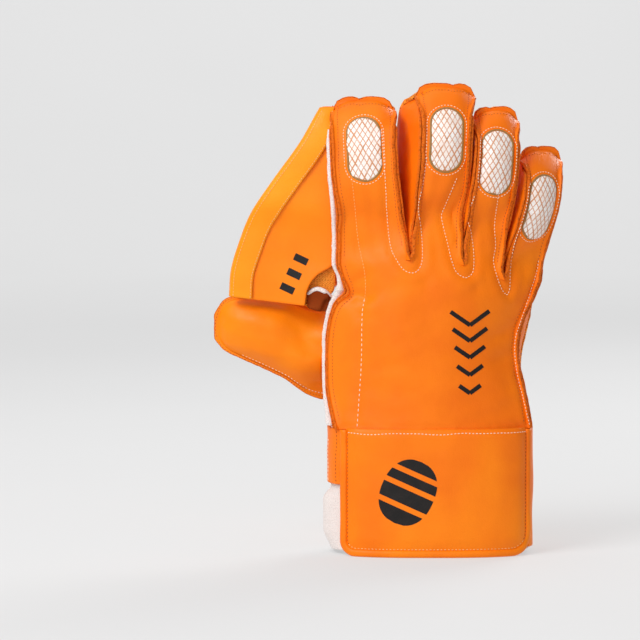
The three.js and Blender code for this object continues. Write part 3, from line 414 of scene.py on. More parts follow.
def dense(line, gap=0.8):
    """Points along a line of given places, as a smooth curve, about gap apart."""
    line = np.asarray(line, float)
    run = np.concatenate([[0], np.cumsum(np.linalg.norm(np.diff(line, axis=0), axis=1))])
    rows = {"at": run} | {str(k): line[:, k] for k in range(line.shape[1])}
    at = np.linspace(0, run[-1], max(2, int(run[-1] / gap) + 1))
    return np.stack([read(rows, str(k), at) for k in range(line.shape[1])], -1)


# The back and palm sheets

def run_across(places):
    """How far along its row each place of a grid lies."""
    steps = np.linalg.norm(np.diff(places, axis=1), axis=2)
    return np.concatenate([np.zeros((len(places), 1)), np.cumsum(steps, 1)], 1)


def hand_sheet(palm):
    """The hand's rows, and a strip for each finger that grows out of them."""
    sheet = Sheet()
    across = np.linspace(-1, 1, STRIP_STEPS + 1)
    found = PALM_SPANS if palm else BACK_SPANS
    columns, starts = [], []
    for i, (a, b) in enumerate(found):
        starts.append(len(columns))
        columns += list(lerp(a, b, (across + 1) / 2))
        if i + 1 < len(found):
            columns += list(np.linspace(b, found[i + 1][0], SLIT_STEPS + 1)[1:-1])
    v = np.linspace(0, 1, HAND_STEPS + 1)
    places = hand_point(np.array(columns)[None, :], v[:, None], palm)
    run = run_across(places)
    mid = len(columns) // 2
    flat_u = places[:, mid:mid + 1, 0] + run - run[:, mid:mid + 1]
    sheet.hand = sheet.add(places, np.stack([flat_u, places[..., 2]], -1))
    sheet.face(sheet.hand, palm)
    sheet.strips = []
    for i, first in enumerate(starts):
        root = sheet.hand[-1, first:first + STRIP_STEPS + 1]
        places = finger_point(i, across[None, :], FINGER_STEPS[:, None], palm)
        run = run_across(places)
        half = STRIP_STEPS // 2
        mid_u = sheet.flat[root[half], 0] + places[:, half:half + 1, 0] - sheet.points[root[half], 0]
        flat_u = mid_u + run - run[:, half:half + 1]
        strip = np.vstack([root[None], sheet.add(places, np.stack([flat_u, places[..., 2]], -1))])
        sheet.face(strip, palm)
        sheet.strips.append(strip)
    sheet.slits = [
        sheet.hand[-1, starts[i] + STRIP_STEPS + 1:starts[i + 1]] for i in range(len(starts) - 1)
    ]
    if not palm:
        point_slits(sheet)
    return sheet


def point_slits(sheet):
    """Draws the foot of each slit down to a point, with its two seams close together."""
    across = np.linspace(-1, 1, SLIT_STEPS + 1)[1:-1]
    pull = SLIT_PULL * (1 - smoothstep(np.concatenate([[0], FINGER_STEPS]), 0, 0.22))
    for i, slit in enumerate(sheet.slits):
        sheet.points[slit, 2] -= SLIT_POINT * (1 - across ** 2)
        sheet.points[sheet.strips[i][:, -1], 0] += pull
        sheet.points[sheet.strips[i + 1][:, 0], 0] -= pull


def free_edge(sheet):
    """The edge from the little finger's side over all fingertips to the thumb side, as rows of
    (point, place on the finger, finger, whether it is on the glove's outer side)."""
    heights = np.concatenate([[0], FINGER_STEPS])
    end = len(FINGERS) - 1
    path = [(k, 0.0, end, True) for k in sheet.hand[:-1, -1]]
    for i in range(end, -1, -1):
        strip = sheet.strips[i]
        path += [(k, f, i, i == end) for k, f in zip(strip[:, -1], heights)]
        path += [(k, 1.0, i, True) for k in strip[-1, -2:0:-1]]
        path += [(k, f, i, i == 0) for k, f in zip(strip[::-1, 0], heights[::-1])]
        if i:
            path += [(k, 0.0, i, False) for k in sheet.slits[i - 1][::-1]]
    return path + [(k, 0.0, 0, True) for k in sheet.hand[-2::-1, 0]]


def tip_planes(path):
    """Across the plane in which the back and the palm meet at the tip of each point's finger."""
    turns = np.radians([FINGERS[p[2]]["turn"] * TIP_TURN for p in path])
    return points_of(-np.sin(turns), np.cos(turns), 0)


def on_back(x, z):
    """Places of the photograph's plane, in millimetres, as points in front of the back."""
    return points_of(x, FRONT_Y, z)


# Stitched lines on the back, from finger to finger: x and z of the places that they pass.
QUILTING = [
    # the loops round the feet of the three slits
    table("x z", (-33.5, 262), (-32.4, 246), (-31, 225), (-30.4, 212), (-27.9, 190), (-22.9, 180),
          (-19.2, 176), (-14.3, 174.8), (-10.5, 177.3), (-8.7, 184), (-9.3, 200), (-11.2, 215),
          (-8.5, 229), (-6.2, 245)),
    table("x z", (12, 232), (4.6, 214), (3.1, 209), (7.4, 190), (9.3, 182), (12.4, 174.8), (18, 171.7),
          (22.3, 174.8), (22.9, 187.2), (21.1, 200), (19.2, 208.3), (22.9, 221)),
    table("x z", (38, 222), (36, 203), (36.6, 190), (35.3, 181), (39.7, 165.5), (43.5, 160.5),
          (45.3, 163.5), (46, 176), (48, 190), (52, 203)),
    # the line down the index finger and on beside the rib
    table("x z", (-52, 240), (-51.5, 230), (-50.2, 218), (-47.7, 193), (-44, 175), (-43.4, 162.4),
          (-45.3, 150), (-45.9, 119), (-48.4, 81)),
    # the line up the little finger's side
    table("x z", (64, 180), (63.2, 174.8), (60.1, 165.5), (57, 156), (52.7, 143.8), (49, 131),
          (50.2, 112.8), (53.9, 97), (57.7, 81)),
]
# Soft folds: where they begin and end, how deep and how wide they are.
FOLDS = table(
    "x0 z0 x1 z1 depth width",
    (-56, 163, -42, 159, 3.2, 4.5), (-55, 160, -46, 148, 1.2, 3.0), (-56, 166, -42, 173, 1.2, 3.2),
    (-30, 207, -54, 212, 2.4, 9.0), (-9, 210, 12, 211, 4.4, 10.0), (22, 206, 38, 206, 4.0, 9.0),
    (50, 184, 62, 190, 3.2, 8.0), (-14, 186, -6, 168, 0.6, 3.5), (17, 181, 24, 166, 0.6, 3.5),
    (40, 171, 44, 158, 0.5, 3.0), (52, 142, 36, 136, 1.0, 6.0), (52, 128, 38, 120, 0.7, 5.0),
    (-46, 120, -30, 116, 0.5, 7.0), (10, 92, 40, 86, 0.5, 7.0),
)


def line_distance(places, line):
    """The distance in the photograph's plane from each point to a drawn line."""
    a, b = line[:-1], line[1:]
    found = np.full(len(places), 1e9)
    for p, q in zip(a, b):
        t = np.clip(((places - p) @ (q - p)) / max((q - p) @ (q - p), 1e-9), 0, 1)
        found = np.minimum(found, np.linalg.norm(places - (p + t[:, None] * (q - p)), axis=1))
    return found


def back_relief(sheet):
    """Quilting, folds and slack of the padded back, as depths in from its even shape."""
    places = sheet.points[:, [0, 2]]
    border = nearest(sheet.points, sheet.points[np.unique(sheet.border())])
    depth = np.zeros(len(places))
    for quilt in QUILTING:
        line = dense(np.stack([quilt["x"], quilt["z"]], 1), 3.0)
        away = line_distance(places, line)
        depth += 0.75 * np.exp(-(away / 1.5) ** 2) - 0.45 * np.exp(-((away - 4.5) / 2.4) ** 2)
    for x0, z0, x1, z1, deep, wide in zip(*(FOLDS[k] for k in ("x0", "z0", "x1", "z1", "depth", "width"))):
        away = line_distance(places, np.array([[x0, z0], [x1, z1]]))
        depth += deep * np.exp(-(away / wide) ** 2)
    depth += 0.5 * wander(sheet.points, 42, 3) + 0.16 * wander(sheet.points, 13, 4)
    pucker = np.exp(-(border / 3.2) ** 2) * (0.35 + 0.3 * wander(sheet.points, 5.5, 5))
    return depth * smoothstep(border, 0.5, 5.0) + pucker * smoothstep(border, 0, 1.2)


back_sheet = hand_sheet(False)
back_sheet.relax(14)
back_sheet.press(back_relief(back_sheet))
back_edge = free_edge(back_sheet)
flatness = 1 - roundness([p[1] for p in back_edge])
outer_side = np.array([p[3] for p in back_edge])
slit_lean = SLIT_LEAN + SLIT_FOOT_LEAN * (1 - smoothstep([p[1] for p in back_edge], 0.05, 0.45))
add_flange(
    back_sheet, [p[0] for p in back_edge],
    over=lerp(np.where(outer_side, SIDE_LEAN, slit_lean), 1, flatness),
    up=lerp(1.0, SLIT_LEAN, flatness), height=SEAM_ALLOWANCE, flat=flatness,
    plane=tip_planes(back_edge), seed=11,
)
back_sheet.level_foot()

palm_sheet = hand_sheet(True)
thumb_lines = np.linspace(-1, 1, THUMB_TO - THUMB_FROM + 1)
thumb_places = thumb_point(THUMB_STEPS[None, :], thumb_lines[:, None], True)
thumb_root = palm_sheet.hand[THUMB_FROM:THUMB_TO + 1, 0]
thumb_run = np.cumsum(np.linalg.norm(np.diff(thumb_places, axis=0, prepend=thumb_places[:1]), axis=2), 0)
thumb_mid = thumb_places.shape[0] // 2
thumb_v = palm_sheet.flat[thumb_root[thumb_mid], 1] + thumb_run - thumb_run[thumb_mid]
palm_thumb = np.hstack([
    thumb_root[:, None],
    palm_sheet.add(thumb_places, np.stack([thumb_places[..., 0], thumb_v], -1)),
])
palm_sheet.face(palm_thumb)
palm_sheet.relax(14)
palm_border = nearest(palm_sheet.points, palm_sheet.points[np.unique(palm_sheet.border())])
palm_slack = 0.6 * wander(palm_sheet.points, 36, 21) + 0.25 * wander(palm_sheet.points, 14, 22)
palm_sheet.press(palm_slack * smoothstep(palm_border, 0.5, 8))
held_rows = set(palm_sheet.hand[THUMB_FROM + 1:THUMB_TO, 0].tolist())
palm_edge = [p for p in free_edge(palm_sheet) if p[0] not in held_rows]
thumb_edge = [(k, 0.0, 0, True) for k in (
    *palm_thumb[-1, 1:], *palm_thumb[-2:0:-1, -1], *palm_thumb[0, :0:-1])]
split = next(i for i, p in enumerate(palm_edge) if p[0] == palm_thumb[0, 0])
palm_path = (palm_edge[:split] + thumb_edge + palm_edge[split:])[::-1]
thumb_keys = {p[0] for p in thumb_edge} | {palm_thumb[0, 0], palm_thumb[-1, 0]}
in_thumb = np.array([p[0] in thumb_keys for p in palm_path])
flatness = np.where(in_thumb, 1, 1 - roundness([p[1] for p in palm_path]))
outer_side = np.array([p[3] for p in palm_path])
cover = np.where(outer_side, CLEARANCE + GUSSET_LEATHER + SIDE_COVER, SLIT_COVER)
add_flange(
    palm_sheet, [p[0] for p in palm_path], over=1.0, up=0.0,
    height=lerp(cover, SEAM_ALLOWANCE, flatness), flat=flatness,
    plane=np.where(in_thumb[:, None], (0, 1, 0), tip_planes(palm_path)), seed=12,
)
palm_sheet.level_foot()


# Gussets, web, lining and cuff

def strip_sheet(start, end, way, out, bow, cover=None, columns=10, upright=0.5):
    """A gusset: a strip from the back's seam to the palm's edge, with its own upturned seam."""
    sheet = Sheet()
    share = np.linspace(0, 1, columns + 1)[None, :, None]
    body = start[:, None] + (end - start)[:, None] * share
    body = body + out[:, None] * (np.asarray(bow) * 4 * share * (1 - share))
    lean = (way * out).sum(1)
    tall = SEAM_ALLOWANCE * (1 - 0.8 * smoothstep(lean, upright, upright + 0.35))
    tall = tall * (1 + 0.07 * wander(start, 6.0, 13))
    rise = np.linspace(1, 0, FLANGE_STEPS + 1)[:-1][None, :, None] * tall[:, None, None]
    index = sheet.add(np.concatenate([start[:, None] + way[:, None] * rise, body], 1))
    sheet.edge[index[:, 0]] = 1.0
    sheet.face(index)
    sheet.body = index[:, FLANGE_STEPS:]
    if cover is not None:
        for k, offset in zip(index[:, -1].tolist(), cover):
            if offset is not None:
                sheet.offsets[k] = offset
    return sheet


def gusset_rows(back_keys, palm_keys):
    """The two edges of a gusset at matching points of the back's and the palm's edges."""
    rows = {"start": [], "end": [], "way": [], "out": [], "cover": []}
    for b, p in zip(back_keys, palm_keys):
        out, way, normal = back_sheet.seams[int(b)]
        start = back_sheet.points[b] + out * CLEARANCE - normal * CLEARANCE
        if p is None:
            end, cover = start + (1, SIDE_STRIP_DEPTH, 0), None
        else:
            palm_out, _, palm_normal = palm_sheet.seams[int(p)]
            end = palm_sheet.points[p] + palm_out * CLEARANCE - palm_normal * CLEARANCE
            cover = palm_out
        for name, value in zip(rows, (start, end, way, out, cover)):
            rows[name].append(value)
    return {name: value if name == "cover" else np.array(value) for name, value in rows.items()}


def wrinkle_gusset(sheet, seed, amount=0.35):
    """Small creases across a gusset, most in its middle."""
    share = np.zeros(len(sheet.points))
    columns = sheet.body.shape[1]
    share[sheet.body] = np.sin(np.linspace(0, np.pi, columns))[None]
    sheet.press(share * amount * (wander(sheet.points, 9, seed) + 0.7 * wander(sheet.points, 22, seed + 1)))


last = len(FINGERS) - 1
gussets = {}
for i in range(last):
    def walk(sheet, i=i):
        return [*sheet.strips[i + 1][1:, 0][::-1], sheet.strips[i + 1][0, 0], *sheet.slits[i][::-1],
                sheet.strips[i][0, -1], *sheet.strips[i][1:, -1]]
    rows = gusset_rows(walk(back_sheet), walk(palm_sheet))
    name = f"gusset_{FINGERS[i]['name']}_{FINGERS[i + 1]['name']}"
    gussets[name] = strip_sheet(**rows, bow=0.0, upright=0.15)

little_rows = gusset_rows(
    [*back_sheet.hand[:-1, -1], *back_sheet.strips[last][:, -1]],
    [*palm_sheet.hand[:-1, -1], *palm_sheet.strips[last][:, -1]],
)
gussets["side_gusset_little"] = strip_sheet(**little_rows, bow=SIDE_BOW)
index_palm = [None if j <= THUMB_TO else palm_sheet.hand[j, 0] for j in range(HAND_STEPS)]
index_rows = gusset_rows(
    [*back_sheet.hand[:-1, 0], *back_sheet.strips[0][:, 0]],
    [*index_palm, *palm_sheet.strips[0][:, 0]],
)
gussets["side_gusset_index"] = strip_sheet(
    **{name: value[::-1] for name, value in index_rows.items()}, bow=0.0,
)
for k, (name, sheet) in enumerate(gussets.items()):
    wrinkle_gusset(sheet, 31 + 2 * k)
    sheet.level_foot()


def side_at(z, share, offset):
    """A line along the outside of the thumb-side strip: across it as a share, or from 1 up in
    millimetres, and offset away from it."""
    start, end, out = index_rows["start"], index_rows["end"], index_rows["out"]
    wide = np.linalg.norm(end - start, axis=1, keepdims=True)
    line = lerp(start, end, share if share < 1 else share / wide) + out * offset
    z = np.asarray(z, float)
    order = np.maximum.accumulate(line[:, 2] + np.arange(len(line)) * 1e-6)
    return points_of(np.interp(z, order, line[:, 0]), np.interp(z, order, line[:, 1]), z)


def web_inner(w, rows=WEB_INNER):
    """The web's edge round the arch at its foot and up the index finger."""
    z = WEB_FOOT + WEB_HEIGHT * read(rows, "rise", w)
    seam = side_at(np.maximum(z, WEB_FOOT + WEB_HEIGHT * WEB_ARCH_TOP), WEB_SEAM_SHARE,
                   GUSSET_LEATHER + 2.4 * CLEARANCE)
    return points_of(seam[..., 0] - WEB_REACH * read(rows, "out", w), seam[..., 1], z)


def web_point(u, w, depth=0.0, rows=WEB_INNER):
    """The web: u from its free edge to the index finger, w upwards."""
    u, w = np.broadcast_arrays(np.asarray(u, float), np.asarray(w, float))
    inner, rise = web_inner(w, rows), read(WEB_ROWS, "rise", w)
    outer = points_of(
        WEB_SEAM_X - WEB_REACH * read(WEB_ROWS, "out", w),
        inner[..., 1] + WEB_DEPTH * np.clip(1 - rise, 0, 1) ** 0.7,
        WEB_FOOT + WEB_HEIGHT * rise,
    )
    hang = WEB_HANG * (1 - smoothstep(w, 0, 0.14)) if rows is WEB_INNER else 0.0
    hang = hang - WEB_PEAK * smoothstep(w, 0.82, 1)
    return lerp(outer, inner, u[..., None]) + points_of(0, depth, -hang)


def tape_share(w):
    """How much of a row of the web the tape along its free edge covers."""
    w = np.asarray(w, float)
    step = web_point(0, np.minimum(w + 0.04, 1)) - web_point(0, np.maximum(w - 0.04, 0))
    slope = np.maximum(np.abs(step[..., 2]) / np.linalg.norm(step, axis=-1), 0.55)
    return np.minimum(1, TAPE_WIDTH / slope / np.linalg.norm(web_point(0, w) - web_point(1, w), axis=-1))


def grid_sheet(places, turned=False):
    """A sheet that is one grid of places."""
    sheet = Sheet()
    index = sheet.add(places)
    sheet.face(index, turned)
    sheet.grid = index
    return sheet


def thumb_top_at(x):
    """How high the thumb's upper seam lies at a place across."""
    return thumb_point(np.clip((THUMB_ROOT[0] - x) / THUMB_LENGTH, 0, 1), 1.0, True)[..., 2]


web_levels = np.linspace(0, 0.99, 90)[:, None]
web_columns = np.linspace(0, 1, 37)[None, :]
web_free = smoothstep(1 - web_columns, 0.0, 0.3) * smoothstep(web_columns, 0.0, 0.15)
web_slack = 0.9 * wander(web_point(web_columns, web_levels), 40, 51) * web_free
web_back = grid_sheet(web_point(web_columns, web_levels, 0.6 * web_slack))
web_splay = WEB_SPLAY * np.sin(np.pi * web_columns) * (1 - web_levels) ** 3
web_places = web_point(web_columns, web_levels, 1.5 * CLEARANCE + web_splay, WEB_PALM_INNER)
foot_z = thumb_top_at(web_places[..., 0]) + SEAM_ALLOWANCE + 3 * CLEARANCE
web_places[..., 2] += np.maximum(0, foot_z - web_places[..., 2]) * (1 - web_levels)
web_palm = grid_sheet(web_places, True)


def tape_sheet():
    """The tape round the web's free edge: across the back, over the edge, a little on the palm."""
    w = web_levels[:, 0]
    reach = np.linalg.norm(web_point(0, w) - web_point(1, w), axis=-1)
    share, beyond = tape_share(w), -2.2 * CLEARANCE / reach
    front, behind = -WEB_LEATHER - 2 * CLEARANCE, WEB_LEATHER + 4.4 * CLEARANCE
    across = [
        web_point(lerp(share, 0, t), w, front - 0.5 * math.sin(math.pi * t))
        for t in np.linspace(0, 1, 9)
    ]
    turn = [
        web_point(beyond * math.sin(math.pi * t) * 1.3, w, lerp(front, behind, t))
        for t in (0.15, 0.35, 0.5, 0.65, 0.85)
    ]
    under = [web_point(share * TAPE_FOLD / TAPE_WIDTH * t, w, behind) for t in (0.3, 1.0)]
    return grid_sheet(np.stack([*across, *turn, *under], 1), True)


web_tape = tape_sheet()


def cuff_plan(inset):
    """The cuff's closed curve, measured along its length from the thumb side over the back."""
    angle = np.pi + 2 * np.pi * np.arange(1441) / 1440
    along = [np.sign(v) * np.abs(v) ** (2 / CUFF_SQUARENESS) for v in (np.cos(angle), np.sin(angle))]
    ring = np.stack([
        CUFF_CENTRE[0] + (CUFF_WIDTH / 2 - inset) * along[0],
        CUFF_CENTRE[1] + (CUFF_DEPTH / 2 - inset) * along[1],
    ], 1)
    run = np.concatenate([[0], np.cumsum(np.linalg.norm(np.diff(ring, axis=0), axis=1))])
    return {"ring": ring, "run": run, "length": run[-1]}


def cuff_point(plan, along, z, out=0.0):
    """A place on a cuff curve: distance along it, height, and distance out from it."""
    along, z, out = np.broadcast_arrays(*(np.asarray(v, float) for v in (along, z, out)))
    ring, run = plan["ring"], plan["run"]

    def at(s):
        s = s % plan["length"]
        return np.stack([np.interp(s, run, ring[:, 0]), np.interp(s, run, ring[:, 1])], -1)

    way = unit(at(along + 0.6) - at(along - 0.6))
    place = at(along) + np.stack([way[..., 1], -way[..., 0]], -1) * out[..., None]
    return points_of(place[..., 0], place[..., 1], z)


cuff_wall = cuff_plan(CUFF_LEATHER)


def cuff_place(x, side):
    """Where the curve passes a given x on the back (side -1) or the palm side (side 1)."""
    half = np.arange(len(cuff_wall["run"])) < 720
    ring = cuff_wall["ring"]
    hit = (half & (ring[:, 0] >= x)) if side < 0 else (~half & (ring[:, 0] <= x))
    return cuff_wall["run"][np.argmax(hit)]


def panel_ends(places, side):
    """Where a cuff panel starts and stops along the cuff's curve."""
    return {"start": cuff_place(places[0], side), "stop": cuff_place(places[1], side)}


CUFF_PANELS = {
    "back": panel_ends(CUFF_BACK, -1) | {"left": 5, "right": 10},
    "palm": panel_ends(CUFF_PALM, 1) | {"left": 8, "right": 8},
}


def round_corner(distance, radius):
    """How far a panel's foot rises in its rounded corner, at a distance from its side."""
    gone = np.maximum(radius - distance, 0)
    return radius - np.sqrt(np.maximum(radius ** 2 - gone ** 2, 0))


def cuff_panel(start, stop, left, right, seed):
    """A padded cuff panel with rounded lower corners, inside its rolled rim."""
    border = RIM_WIDTH * 0.62
    a, b = start + border, stop - border
    u = (1 - np.cos(np.linspace(0, np.pi, 91))) / 2
    u = lerp(u, np.linspace(0, 1, 91), 0.6)
    foot = border + round_corner((b - a) * u, left + 2) + round_corner((b - a) * (1 - u), right + 2)
    v = np.linspace(0, 1, 49)[:, None]
    z = lerp(foot[None], CUFF_HEIGHT, v)
    along = np.broadcast_to(lerp(a, b, u)[None], z.shape)
    side = np.minimum((b - a) * u, (b - a) * (1 - u))[None]
    rim_far = np.minimum(side, z - foot[None])
    flat_places = points_of(along, 0, z)
    slack = 0.35 * wander(flat_places, 48, seed) + 0.12 * wander(flat_places, 17, seed + 1)
    out = (slack + 0.9) * smoothstep(rim_far, 1.5, 9) - 0.9 * (1 - smoothstep(CUFF_HEIGHT - z, 0, 3.5))
    out = out - 0.7 * (1 - smoothstep(rim_far, 0, 3.0))
    sheet = grid_sheet(cuff_point(cuff_wall, along, z, out))
    groove = 1.5 * (1 - smoothstep(np.broadcast_to(side, z.shape), 0.4, 3.2))
    groove = groove * smoothstep(CUFF_HEIGHT - z, 0, 6)
    sheet.thickness = (CUFF_LEATHER - groove).reshape(-1, 1)
    return sheet


def cuff_rim(start, stop, left, right, seed):
    """The rolled rim down one side of the panel, round its corners, along the foot and up."""
    r = RIM_WIDTH / 2
    left_x, right_x = start + RIM_WIDTH + left, stop - RIM_WIDTH - right
    line = [(start + r, z, math.pi) for z in np.linspace(CUFF_HEIGHT, RIM_WIDTH + left + 1, 40)]
    for x, radius, turn in ((left_x, left, math.pi), (right_x, right, 1.5 * math.pi)):
        arc = [(x + (radius + r) * math.cos(t), RIM_WIDTH + radius + (radius + r) * math.sin(t), t)
               for t in np.linspace(turn, turn + math.pi / 2, 12)]
        if turn > math.pi:
            line += [(x0, r, 1.5 * math.pi) for x0 in np.linspace(left_x + 1.5, right_x - 1.5, 70)]
        line += arc
    line += [(stop - r, z, 2 * math.pi) for z in np.linspace(RIM_WIDTH + right + 1, CUFF_HEIGHT, 40)]
    line = np.array(line)
    angle = np.linspace(0, 2 * np.pi, 14, endpoint=False) + np.pi / 2
    e = np.sign(np.cos(angle)) * np.abs(np.cos(angle)) ** 0.75
    d = 0.5 + 0.5 * np.sign(np.sin(angle)) * np.abs(np.sin(angle)) ** 0.75
    places = points_of(line[:, 0], 0, line[:, 1])
    swell = (1 + 0.05 * wander(places, 15, seed))[:, None]
    along = line[:, :1] + e * r * np.cos(line[:, 2:])
    z = line[:, 1:2] + e * r * np.sin(line[:, 2:])
    return cuff_point(cuff_wall, along, np.maximum(z, 0.0), d * RIM_HEIGHT * swell)


cuff_lining_plan = cuff_plan(CUFF_LEATHER + CLEARANCE + TOWELLING)


def cuff_lining():
    """The lining inside the cuff, which bulges out through the opening at the thumb side."""
    u, z = np.linspace(0, 1, 181)[None, :], np.linspace(LINING_FOOT, CUFF_HEIGHT - 1, 48)[:, None]
    away = np.minimum(u, 1 - u) * cuff_lining_plan["length"]
    top = SLIT_HEIGHT - LINING_FOOT
    out = LINING_BULGE * smoothstep(LINING_BULGE_HALF - away, 0, LINING_BULGE_HALF)
    out = out * smoothstep(top - z, 0, 8) * smoothstep(z, 1.0, 15)
    places = cuff_point(cuff_lining_plan, u * cuff_lining_plan["length"], z + 0 * u, out)
    sheet = Sheet()
    index = sheet.add(places[:, :-1])
    sheet.grid = np.hstack([index, index[:, :1]])
    sheet.face(sheet.grid)
    return sheet


def cuff_side(start, stop, foot, seed):
    """A side piece of the cuff, between its two panels."""
    s = np.linspace(start + CLEARANCE, stop - CLEARANCE, 40)[None, :]
    z = np.linspace(foot, CUFF_HEIGHT, 40)[:, None]
    slack = 0.25 * wander(points_of(s, 0, z), 20, seed)
    return grid_sheet(cuff_point(cuff_wall, s + 0 * z, z + 0 * s, slack))


# Finishes

def colour(hexa):
    """An sRGB hex colour as linear red, green, blue and alpha."""
    parts = [int(hexa[k:k + 2], 16) / 255 for k in (1, 3, 5)]
    return tuple(c / 12.92 if c <= 0.04045 else ((c + 0.055) / 1.055) ** 2.4 for c in parts) + (1.0,)


def node(tree, kind, inputs=None, **settings):
    """Adds a node with its settings; an input is a value or another node's output."""
    made = tree.nodes.new(kind)
    for name, value in settings.items():
        setattr(made, name, value)
    for name, value in (inputs or {}).items():
        if isinstance(value, bpy.types.NodeSocket):
            tree.links.new(value, made.inputs[name])
        else:
            made.inputs[name].default_value = value
    return made


def math_node(tree, operation, *values):
    return node(tree, "ShaderNodeMath", dict(enumerate(values)), operation=operation).outputs[0]


def times(tree, a, b):
    return math_node(tree, "MULTIPLY", a, b)


def vector_node(tree, operation, *values, output=0):
    made = node(tree, "ShaderNodeVectorMath", dict(enumerate(values)), operation=operation)
    return made.outputs[output]


def attribute(tree, name, output):
    """What a piece's points carry under a name."""
    return node(tree, "ShaderNodeAttribute", attribute_name=name).outputs[output]


def mixed(tree, share, a, b):
    """Colour a turning to colour b by a share."""
    inputs = {0: share, 6: a, 7: b}
    return node(tree, "ShaderNodeMix", inputs, data_type="RGBA", clamp_factor=True).outputs[2]


def ramp(tree, value, low, high):
    """0 below low, 1 above high."""
    inputs = {0: value, 1: low, 2: high}
    return node(tree, "ShaderNodeMapRange", inputs, interpolation_type="SMOOTHSTEP").outputs[0]


def new_material(name):
    """A material with its shader, and the place on the piece that patterns are laid out by."""
    material = bpy.data.materials.new(name)
    material.use_nodes = True
    tree = material.node_tree
    tree.nodes.clear()
    shader = node(tree, "ShaderNodeBsdfPrincipled")
    output = node(tree, "ShaderNodeOutputMaterial", {"Surface": shader.outputs[0]})
    output.location = (400, 0)
    where = node(tree, "ShaderNodeTexCoord").outputs["Object"]
    return material, tree, shader, where


def noise(tree, where, size_mm, detail=2.0, rough=0.5):
    """Cloudy noise whose blotches are about size_mm across."""
    inputs = {"Vector": where, "Scale": 1000 / size_mm, "Detail": detail, "Roughness": rough}
    return node(tree, "ShaderNodeTexNoise", inputs).outputs[0]


def cells(tree, where, size_mm):
    """The distance to the middle of irregular cells, each about size_mm across."""
    inputs = {"Vector": where, "Scale": 1000 / size_mm, "Randomness": 1.0}
    return node(tree, "ShaderNodeTexVoronoi", inputs, feature="F1").outputs[0]


def bands(tree, where, scale, waviness, way):
    """Fine bands: the threads of a weave, or the plies of a thread."""
    inputs = {"Vector": where, "Scale": scale, "Distortion": waviness}
    return node(tree, "ShaderNodeTexWave", inputs, bands_direction=way).outputs["Fac"]


def bump(tree, height, depth_mm, normal=None):
    """A relief of a depth in millimetres, on top of another one if that is given."""
    inputs = {"Height": height, "Distance": depth_mm / 1000, "Strength": 1.0}
    if normal is not None:
        inputs["Normal"] = normal
    return node(tree, "ShaderNodeBump", inputs).outputs[0]


def dyed_leather(name, base, dark, light, roughness=0.5, grain_mm=0.9, specular=0.22):
    """Smooth, drum-dyed cow leather with a pigment finish: a fine pore grain, faint stretch
    marks, an uneven dye, and fibrous cut edges that the finish doesn't reach."""
    material, tree, shader, where = new_material(name)
    blotches = noise(tree, where, 34, 3.0)
    tint = mixed(tree, ramp(tree, blotches, 0.3, 0.72), colour(dark), colour(base))
    tint = mixed(tree, ramp(tree, noise(tree, where, 70, 2.0), 0.5, 0.8), tint, colour(light))
    pores = cells(tree, where, grain_mm)
    tint = mixed(tree, times(tree, ramp(tree, pores, 0.45, 0.9), 0.16), tint, colour(dark))
    edge = attribute(tree, "edge", "Fac")
    fibres = noise(tree, where, 1.0, 3.0)
    cut = ramp(tree, math_node(tree, "ADD", edge, times(tree, fibres, 0.7)), 1.05, 1.35)
    strands = ramp(tree, noise(tree, where, 1.3, 2.0), 0.48, 0.66)
    fringe = mixed(tree, strands, colour("#E0690F"), colour("#B8500C"))
    tree.links.new(mixed(tree, cut, tint, fringe), shader.inputs["Base Color"])
    gloss = ramp(tree, noise(tree, where, 9, 3.0), 0.2, 0.8)
    rough = math_node(tree, "ADD", times(tree, gloss, 0.1), roughness - 0.05)
    rough = math_node(tree, "MAXIMUM", rough, times(tree, cut, 0.9))
    tree.links.new(rough, shader.inputs["Roughness"])
    shader.inputs["Specular IOR Level"].default_value = specular
    soft = bump(tree, noise(tree, where, 11, 4.0, 0.55), 0.35)
    fine = bump(tree, pores, 0.05, soft)
    fibre = bump(tree, times(tree, fibres, cut), 0.6, fine)
    tree.links.new(fibre, shader.inputs["Normal"])
    return material


